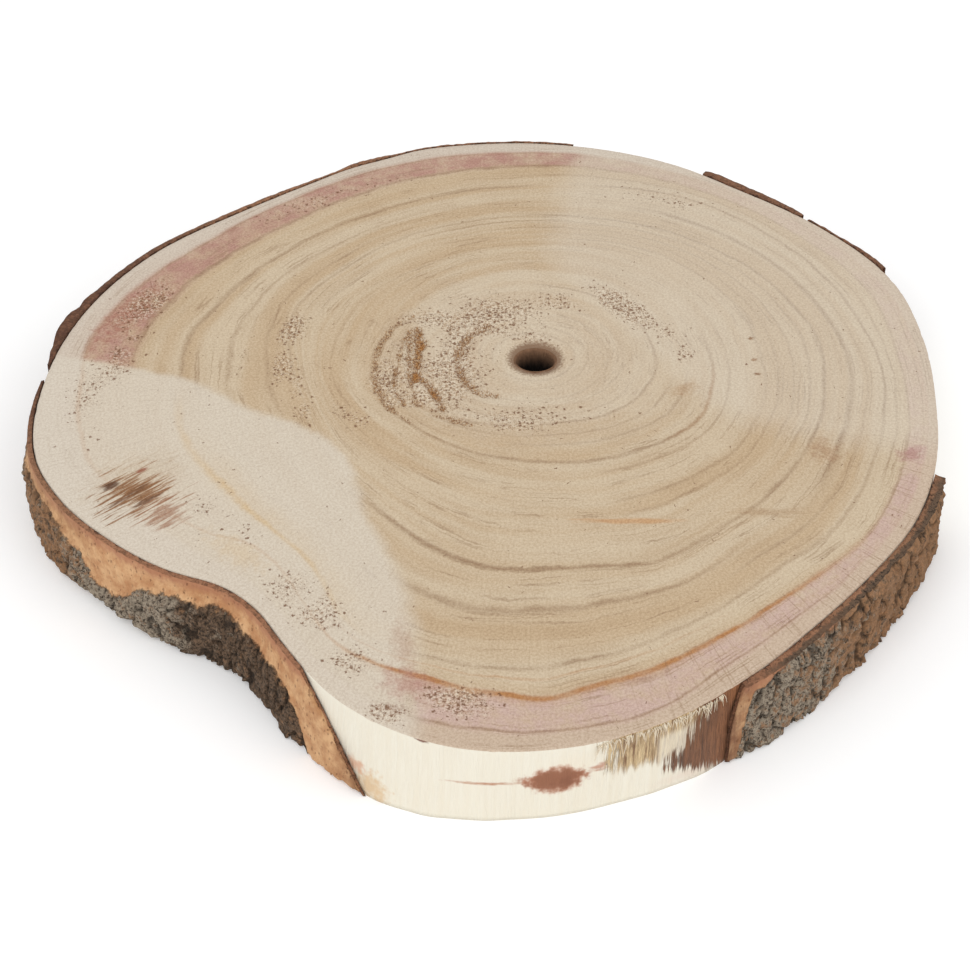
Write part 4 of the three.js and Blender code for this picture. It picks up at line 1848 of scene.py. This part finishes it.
@dataclass
class TornFibres:
    """Pale fibres torn out along the upper rim, one small closed strip each."""

    outline: Outline
    first: float = 275.3
    last: float = 288.2
    count: int = 150
    seed: int = 5

    def build(self) -> bpy.types.Object:
        """Builds all the fibres in one mesh.

        Returns:
            The fibres.
        """
        draw = np.random.default_rng(self.seed)
        points, faces = [], []
        for _ in range(self.count):
            bearing = draw.uniform(self.first, self.last)
            long = draw.random() < 0.12
            length = draw.uniform(4.0, 7.5) if long else draw.uniform(1.2, 3.6)
            self.add(points, faces, bearing, length, draw)
        fibres = make_object("torn_rim_fibres", np.array(points), faces)
        fibres.data.materials.append(SliverFinish().material())
        return fibres

    def add(
        self, points: list, faces: list, bearing: float, length: float, draw: np.random.Generator
    ) -> None:
        """Adds one fibre: a tapering four-sided strip that bends down from the rim.

        Args:
            points: Points so far.
            faces: Faces so far.
            bearing: Where it grows from the rim.
            length: Its length.
            draw: The random draw.
        """
        shape = self.outline
        rows = 6
        rim = float(shape.edge(np.array([bearing]), shape.top)[0])
        angle = math.radians(bearing)
        outward = np.array([math.cos(angle), math.sin(angle), 0.0])
        sideways = np.array([-outward[1], outward[0], 0.0])
        height = shape.top - draw.uniform(0.5, 1.5)
        root = np.array([*shape.pith, height]) + outward * (rim - 1.4)
        lean = draw.normal(-0.15, 0.45)
        fall = draw.uniform(0.5, 1.1)
        heading = outward * 1.0 + sideways * lean
        width = draw.uniform(0.16, 0.34)
        start = len(points)
        for row in range(rows + 1):
            share = row / rows
            bend = fall * share * share
            ahead = 1.5 * min(1.0, share * 3) + 0.22 * length * share
            centre = root + heading * ahead + sideways * lean * 0.4 * length * share
            centre = centre - np.array([0, 0, bend * length])
            half = width * (1 - 0.8 * share)
            for side, drop in ((-1, 0), (0, 0.8), (1, 0), (0, -0.8)):
                lift = np.array([0, 0, 0.8]) + outward * 0.6
                points.append(centre + sideways * half * side + lift * half * drop)
        for row in range(rows):
            for corner in range(4):
                a = start + row * 4 + corner
                b = start + row * 4 + (corner + 1) % 4
                faces.append([a, a + 4, b + 4, b])
        faces.append([start + corner for corner in range(4)])
        faces.append([start + rows * 4 + corner for corner in (3, 2, 1, 0)])


@dataclass
class BarkPatch:
    """One patch of bark on the edge, as a fine closed shell that keeps its solid's form.

    Attributes:
        node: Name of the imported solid.
        outline: The disc's shape.
        crust_top: Bearing and height of the rough crust's upper limit.
        lichen: Bearing and amount of the pale growth on the crust.
        worn: Bearing and share of the bark that is worn down to rust-brown.
        dusk: Bearing and share of the darkest brown tone.
        step: Width of a column, in millimetres.
        rows: Rows from the foot to the rim.
        layers: Rows through the thickness.
        gap: Gap to the wood.
        furrow_depth: Depth of the furrows in the crust.
    """

    node: str
    outline: Outline
    crust_top: Stations
    lichen: Stations
    worn: Stations
    dusk: Stations = ((0, 0), (360, 0))
    step: float = 0.62
    rows: int = 48
    layers: int = 5
    gap: float = 0.3
    furrow_depth: float = 1.5
    grain: Grain = field(default_factory=lambda: Grain(23))

    def build(self, skin: bpy.types.Material, cut: bpy.types.Material) -> bpy.types.Object:
        """Builds the patch.

        Args:
            skin: Material of its outer side.
            cut: Material of its rim, ends and inner side.

        Returns:
            The patch.
        """
        solid = frame["nodes"][self.node]
        corners = np.array([v.co for v in solid.data.vertices]) / MM
        bearing, radius = self.polar(corners)
        heights = np.linspace(0, 1, self.rows + 1)
        close = radius - self.outline.edge(bearing, corners[:, 2]) < 0.6
        ends = self.find_ends(bearing[close], corners[close, 2])
        mean_radius = float(radius.mean())
        columns = round(math.radians(ends[1][1].mean() - ends[0][1].mean()) * mean_radius / self.step)
        foot = float(corners[:, 2].min())
        levels = foot + (self.outline.top - foot) * heights
        first = np.interp(levels, *ends[0])
        last = np.interp(levels, *ends[1])
        share = np.linspace(0, 1, columns + 1)
        turns = first[None, :] + (last - first)[None, :] * share[:, None]
        thickness = self.measure(solid, turns, levels)
        return self.shape(turns, levels, thickness, skin, cut)

    def polar(self, points: np.ndarray) -> tuple[np.ndarray, np.ndarray]:
        """Bearing and radius of points.

        Args:
            points: Points, one to a row.

        Returns:
            The bearings from 0 to 360 and the radii.
        """
        offset = points[:, :2] - self.outline.pith
        return np.mod(np.degrees(np.arctan2(offset[:, 1], offset[:, 0])), 360), np.hypot(*offset.T)

    def find_ends(self, bearing: np.ndarray, height: np.ndarray) -> tuple[tuple, tuple]:
        """Finds the bearings where the solid's inner side starts and ends, by height.

        Args:
            bearing: Bearing of each point of the inner side.
            height: Height of each.

        Returns:
            Heights and bearings of the start, and of the end.
        """
        levels = np.linspace(0, self.outline.top, 5)
        low, high = [], []
        for level in levels:
            near = np.abs(height - level) < 2.0
            low.append(bearing[near].min())
            high.append(bearing[near].max())
        return (levels, np.array(low)), (levels, np.array(high))

    def measure(self, solid: bpy.types.Object, turns: np.ndarray, levels: np.ndarray) -> np.ndarray:
        """Measures the solid's thickness by rays from outside towards the pith's axis.

        Args:
            solid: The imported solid.
            turns: Bearing of each column at each row.
            levels: Height of each row.

        Returns:
            Thickness beyond the wood, for each column and row.
        """
        tree = BVHTree.FromPolygons(
            [v.co for v in solid.data.vertices], [tuple(p.vertices) for p in solid.data.polygons]
        )
        far = 0.3
        pith = Vector((self.outline.pith[0] * MM, self.outline.pith[1] * MM, 0))
        edge = self.outline.edge(turns, levels[None, :])
        thickness = np.full(turns.shape, np.nan)
        for column, row in np.ndindex(*turns.shape):
            angle = math.radians(turns[column, row])
            outward = Vector((math.cos(angle), math.sin(angle), 0))
            height = min(max(levels[row], 0.02), self.outline.top - 0.02) * MM
            hit = tree.ray_cast(pith + outward * far + Vector((0, 0, height)), -outward, far)
            if hit[0] is not None:
                thickness[column, row] = (far - hit[3]) / MM - edge[column, row]
        for row in range(turns.shape[1]):
            known = np.isfinite(thickness[:, row])
            if known.any():
                order = np.arange(turns.shape[0])
                thickness[:, row] = np.interp(order, order[known], thickness[known, row])
        lowest = int(np.argmax(np.isfinite(thickness).all(axis=0)))
        thickness[:, :lowest] = thickness[:, lowest : lowest + 1]
        return thickness

    def shape(
        self,
        turns: np.ndarray,
        levels: np.ndarray,
        thickness: np.ndarray,
        skin: bpy.types.Material,
        cut: bpy.types.Material,
    ) -> bpy.types.Object:
        """Shapes the shell, with its rough crust and its crumbled foot.

        Args:
            turns: Bearing of each column at each row.
            levels: Height of each row.
            thickness: Thickness beyond the wood.
            skin: Material of the outer side.
            cut: Material of the rest.

        Returns:
            The patch.
        """
        top = self.outline.top
        grid_levels = np.broadcast_to(levels[None, :], turns.shape)
        edge = self.outline.edge(turns, grid_levels)
        places = self.outline.place(turns, edge, grid_levels)
        ragged = (2.4 * self.grain.rough(places, 5.0, 4)).reshape(turns.shape)
        ragged *= smooth(top - grid_levels, 0.5, 4.0)
        shifted = grid_levels + ragged
        looked_up = np.array([np.interp(row, levels, column) for row, column in zip(shifted, thickness)])
        crust = np.interp(turns, *np.array(self.crust_top).T) - grid_levels - ragged
        covered = smooth(crust, -0.7, 0.7)
        ridge = 1 - np.abs(self.grain.at(places, (3.6, 3.6, 8.0)))
        crossed = 1 - np.abs(self.grain.at(places + 31.0, (5.0, 5.0, 4.0)))
        furrow = (smooth(ridge, 0.80, 0.99) * 0.9 + smooth(crossed, 0.86, 1.0) * 0.6).reshape(turns.shape)
        furrow = np.clip(furrow, 0, 1)
        lumps = self.grain.rough(places, 4.0, 3).reshape(turns.shape)
        grit = self.grain.at(places, 1.3).reshape(turns.shape)
        relief = covered * (0.95 * lumps + 0.5 * grit + 0.45 - self.furrow_depth * furrow)
        relief += (1 - covered) * (0.24 * lumps + 0.12 * grit)
        ease_rim = smooth(top - grid_levels, -1.6, 2.0)
        outer = np.maximum(looked_up + relief * ease_rim, self.gap + 0.45)
        slope = np.gradient(edge, axis=0) / (np.radians(np.gradient(turns, axis=0)) * edge)
        inner = np.broadcast_to(self.gap * np.sqrt(1 + slope**2), outer.shape)
        return self.shell(turns, grid_levels, edge, inner, outer, crust, furrow, skin, cut)

    def shell(
        self,
        turns: np.ndarray,
        heights: np.ndarray,
        edge: np.ndarray,
        inner: np.ndarray,
        outer: np.ndarray,
        crust: np.ndarray,
        furrow: np.ndarray,
        skin: bpy.types.Material,
        cut: bpy.types.Material,
    ) -> bpy.types.Object:
        """Makes the closed shell on a block of columns, rows and layers.

        Args:
            turns: Bearing of each column at each row.
            heights: Height of each.
            edge: Radius of the wood.
            inner: Offset of the inner side from the wood.
            outer: Offset of the outer side from the wood.
            crust: Depth into the crust, negative outside it.
            furrow: How deep in a furrow each place is.
            skin: Material of the outer side.
            cut: Material of the rest.

        Returns:
            The patch.
        """
        wide, high, deep = turns.shape[0] - 1, turns.shape[1] - 1, self.layers
        u, v, w = np.meshgrid(np.arange(wide + 1), np.arange(high + 1), np.arange(deep + 1), indexing="ij")
        on_skin = (u == 0) | (u == wide) | (v == 0) | (v == high) | (w == 0) | (w == deep)
        number = np.full(on_skin.shape, -1)
        number[on_skin] = np.arange(on_skin.sum())
        cu, cv, cw = u[on_skin], v[on_skin], w[on_skin]
        share = cw / deep
        offset = inner[cu, cv] * (1 - share) + outer[cu, cv] * share
        points = self.outline.place(turns[cu, cv], edge[cu, cv] + offset, heights[cu, cv])
        chip = 0.5 + 0.5 * self.grain.rough(points, 2.0, 3)
        points[:, 2] -= np.where(cv == high, 0.5 * chip * np.maximum(share, 0.25), 0)
        points[:, 2] += np.where(cv == 0, 0.9 * chip * share, 0)
        broken = np.where(cu == 0, 1.0, 0.0) - np.where(cu == wide, 1.0, 0.0)
        angle = np.radians(turns[cu, cv])
        splinter = 0.5 + 0.5 * self.grain.at(points, (1.5, 1.5, 7.0))
        bite = broken * (0.8 * chip + 2.0 * splinter) * (0.3 + 0.7 * share)
        along = np.stack([-np.sin(angle), np.cos(angle)], 1) * bite[:, None]
        points[:, :2] += along
        low, high_corner = (np.array(corner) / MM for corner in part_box(self.node))
        points = np.clip(points, low, high_corner)
        faces, kinds, layout = self.block_faces(number, wide, high, deep)
        patch = make_object(self.node + "_fine", points, faces)
        mesh = patch.data
        store(mesh, "crust", crust[cu, cv])
        store(mesh, "furrow", furrow[cu, cv])
        store(mesh, "under_rim", self.outline.top - heights[cu, cv])
        for name in ("lichen", "worn", "dusk"):
            store(mesh, name, np.interp(turns[cu, cv], *np.array(getattr(self, name)).T))
        store(mesh, "depth", share)
        mesh.materials.append(skin)
        mesh.materials.append(cut)
        mesh.polygons.foreach_set("material_index", kinds)
        mesh.uv_layers.new(name="OFBake").data.foreach_set("uv", layout.astype(np.float32).ravel())
        return patch

    @staticmethod
    def block_faces(
        number: np.ndarray, wide: int, high: int, deep: int
    ) -> tuple[list, np.ndarray, np.ndarray]:
        """Lists the faces of a block's six sides, and lays them out flat one above the other.

        Args:
            number: Point number of each place on the block's skin.
            wide: Columns.
            high: Rows.
            deep: Layers.

        Returns:
            The faces, 0 for each on the outer side or 1 for the others, and the flat place of each corner.
        """

        def side(sheet: np.ndarray, flip: bool, start: float, tall: float) -> tuple[np.ndarray, np.ndarray]:
            """Faces and flat places of one sheet of points, turned over where flip says so."""
            run = np.linspace(0.01, 0.99, sheet.shape[0])
            rise = np.linspace(start, start + tall, sheet.shape[1])
            spots = np.stack(np.meshgrid(run, rise, indexing="ij"), axis=-1)
            corners = [np.s_[:-1, :-1], np.s_[1:, :-1], np.s_[1:, 1:], np.s_[:-1, 1:]]
            order = corners[::-1] if flip else corners
            quads = np.stack([sheet[corner] for corner in order], axis=-1).reshape(-1, 4)
            return quads, np.stack([spots[corner] for corner in order], axis=2).reshape(-1, 2)

        sheets = [
            side(number[:, :, deep], False, 0.01, 0.38),
            side(number[:, :, 0], True, 0.41, 0.2),
            side(number[:, high, :], True, 0.63, 0.14),
            side(number[:, 0, :], False, 0.79, 0.06),
            side(number[0, :, :], True, 0.87, 0.05),
            side(number[wide, :, :], False, 0.94, 0.05),
        ]
        shares = [np.full(len(quads), min(index, 1)) for index, (quads, _) in enumerate(sheets)]
        kinds = np.concatenate(shares)
        faces = np.concatenate([quads for quads, _ in sheets]).tolist()
        return faces, kinds, np.concatenate([spots for _, spots in sheets])


@dataclass
class Studio:
    """A pale floor, soft light and the camera."""

    eye: tuple[float, float, float] = (0.00066, -0.6293, 0.5379)
    tilt: float = 49.0
    lens: float = 88.98
    sensor: float = 36.0
    floor_size: float = 8.0

    def build(self) -> None:
        """Sets up the floor, the lights and the camera."""
        self.place_camera()
        self.lay_floor()
        self.light()

    def place_camera(self) -> None:
        """Places the camera at the photograph's viewing angle."""
        data = bpy.data.cameras.new("camera")
        data.lens = self.lens
        data.sensor_width = self.sensor
        data.sensor_fit = "AUTO"
        data.clip_start = 0.01
        camera = bpy.data.objects.new("camera", data)
        camera.location = self.eye
        camera.rotation_euler = (math.radians(self.tilt), 0, 0)
        bpy.context.scene.collection.objects.link(camera)
        bpy.context.scene.camera = camera

    def lay_floor(self) -> None:
        """Lays a plain pale floor just under the object."""
        half = self.floor_size / 2
        corners = np.array([(-half, -half, 0), (half, -half, 0), (half, half, 0), (-half, half, 0)]) / MM
        floor = make_object("floor", corners, [[0, 1, 2, 3]])
        material, _, shader = new_material("floor_paint", 1.0)
        shader.inputs["Base Color"].default_value = tone(250, 250, 250)
        shader.inputs["Specular IOR Level"].default_value = 0.0
        shader.inputs["Emission Color"].default_value = (1.0, 1.0, 1.0, 1.0)
        shader.inputs["Emission Strength"].default_value = 0.15
        floor.data.materials.append(material)

    def light(self) -> None:
        """Lights the object softly from all round, a little more from above and the front."""
        world = bpy.data.worlds.new("studio_air")
        world.use_nodes = True
        background = world.node_tree.nodes["Background"]
        background.inputs["Color"].default_value = (1.0, 1.0, 1.0, 1.0)
        background.inputs["Strength"].default_value = 0.80
        bpy.context.scene.world = world
        for name, place, size, power in (
            ("key_light", (-0.9, -1.5, 2.2), 1.6, 18.0),
            ("fill_light", (1.4, -1.2, 1.6), 1.6, 8.0),
        ):
            data = bpy.data.lights.new(name, "AREA")
            data.size = size
            data.energy = power
            lamp = bpy.data.objects.new(name, data)
            lamp.location = place
            lamp.rotation_euler = (Vector((0, 0, 0)) - Vector(place)).to_track_quat("-Z", "Y").to_euler()
            bpy.context.scene.collection.objects.link(lamp)
        bpy.context.scene.view_settings.view_transform = "Standard"


def settle(piece: bpy.types.Object, node: str | None = None) -> None:
    """Ties a piece to the frame, and reports it.

    Args:
        piece: The finished piece.
        node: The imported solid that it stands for, if any.
    """
    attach(piece, BODY)
    if node:
        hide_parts(node)
    LOG.info("%s: %d faces", piece.name, len(piece.data.polygons))


def bark_patches(outline: Outline) -> list[BarkPatch]:
    """Lists the five patches of bark.

    Args:
        outline: The disc's shape.

    Returns:
        The patches, ready to build.
    """
    return [
        BarkPatch(
            "bark_front_left",
            outline,
            ((184, 9), (188, 17), (193, 22), (198, 24), (203, 25), (207, 24), (210.5, 19),
             (212.5, 11), (215.5, 10), (218, 14), (221, 21), (224, 23), (231, 24), (234, 23),
             (239, 20.5), (243, 18), (244.5, 10), (246, -3), (253.2, -6)),
            ((184, 0.3), (200, 0.5), (206, 0.2), (212, 1.2), (221, 1.2), (227, 0.1), (244, -0.1)),
            ((184, 0.8), (190, 0.6), (204, 0.8), (210, 0.5), (213, 0.0), (240, 0.0), (246, 0.2),
             (253, 0.5)),
            ((184, 1.0), (190, 0.7), (195, 0.15), (199, 0), (249, 0), (252, 0.35), (253.2, 0.4)),
        ),
        BarkPatch(
            "bark_back_left",
            outline,
            ((82, 10), (97, 20), (111, 10), (115, 26), (123, 12), (141, 25), (149, 13), (165, 26),
             (169.7, 14), (174.6, 26), (181.5, 8)),
            ((82, 0.4), (130, 0.8), (160, 0.3), (181.5, 0.2)),
            ((82, 0.4), (181.5, 0.6)),
            ((82, 0), (140, 0), (152, 0.6), (164, 0.9), (182, 0.9)),
        ),
        BarkPatch(
            "bark_back_right_long",
            outline,
            ((40.2, 12), (43, 20), (50, 26), (58, 18), (60.4, 12)),
            ((40, 0.3), (60, 0.6)),
            ((40, 0.5), (60, 0.5)),
            ((40, 0.5), (60, 0.5)),
        ),
        BarkPatch(
            "bark_back_right_short",
            outline,
            ((22.2, 18), (24, 23), (33, 14), (37, 18), (39.4, 8)),
            ((22, 0.5), (39, 0.4)),
            ((22, 0.5), (39, 0.5)),
            ((22, 0.5), (39, 0.5)),
        ),
        BarkPatch(
            "bark_right",
            outline,
            ((288.8, -6), (290.0, 0), (291.6, 26), (297, 31), (304, 29.5), (311, 32), (320, 30.5),
             (330, 31), (334.7, 29)),
            ((288.8, 0.9), (296, 1.1), (301, 0.9), (308, 0.3), (325, 0.15), (335, 0.2)),
            ((288.8, 0.4), (291, 0.2), (301, 0.35), (306, 0.8), (335, 1.0)),
            ((288.8, 0.8), (290, 0.5), (292, 0.2), (300, 0.05), (320, 0.1), (335, 0.2)),
        ),
    ]


def main() -> None:
    """Builds the studio, the wood and the bark in order."""
    logging.basicConfig(level=logging.INFO, format="%(message)s")
    Studio().build()
    outline = Outline()
    rings = RingField(outline)
    settle(WoodDisc(outline, rings).build(), "wood")
    settle(TornFibres(outline).build())
    finish = BarkFinish()
    skin, cut = finish.skin(), finish.cut()
    for patch in bark_patches(outline):
        settle(patch.build(skin, cut), patch.node)


if __name__ == "__main__":
    main()
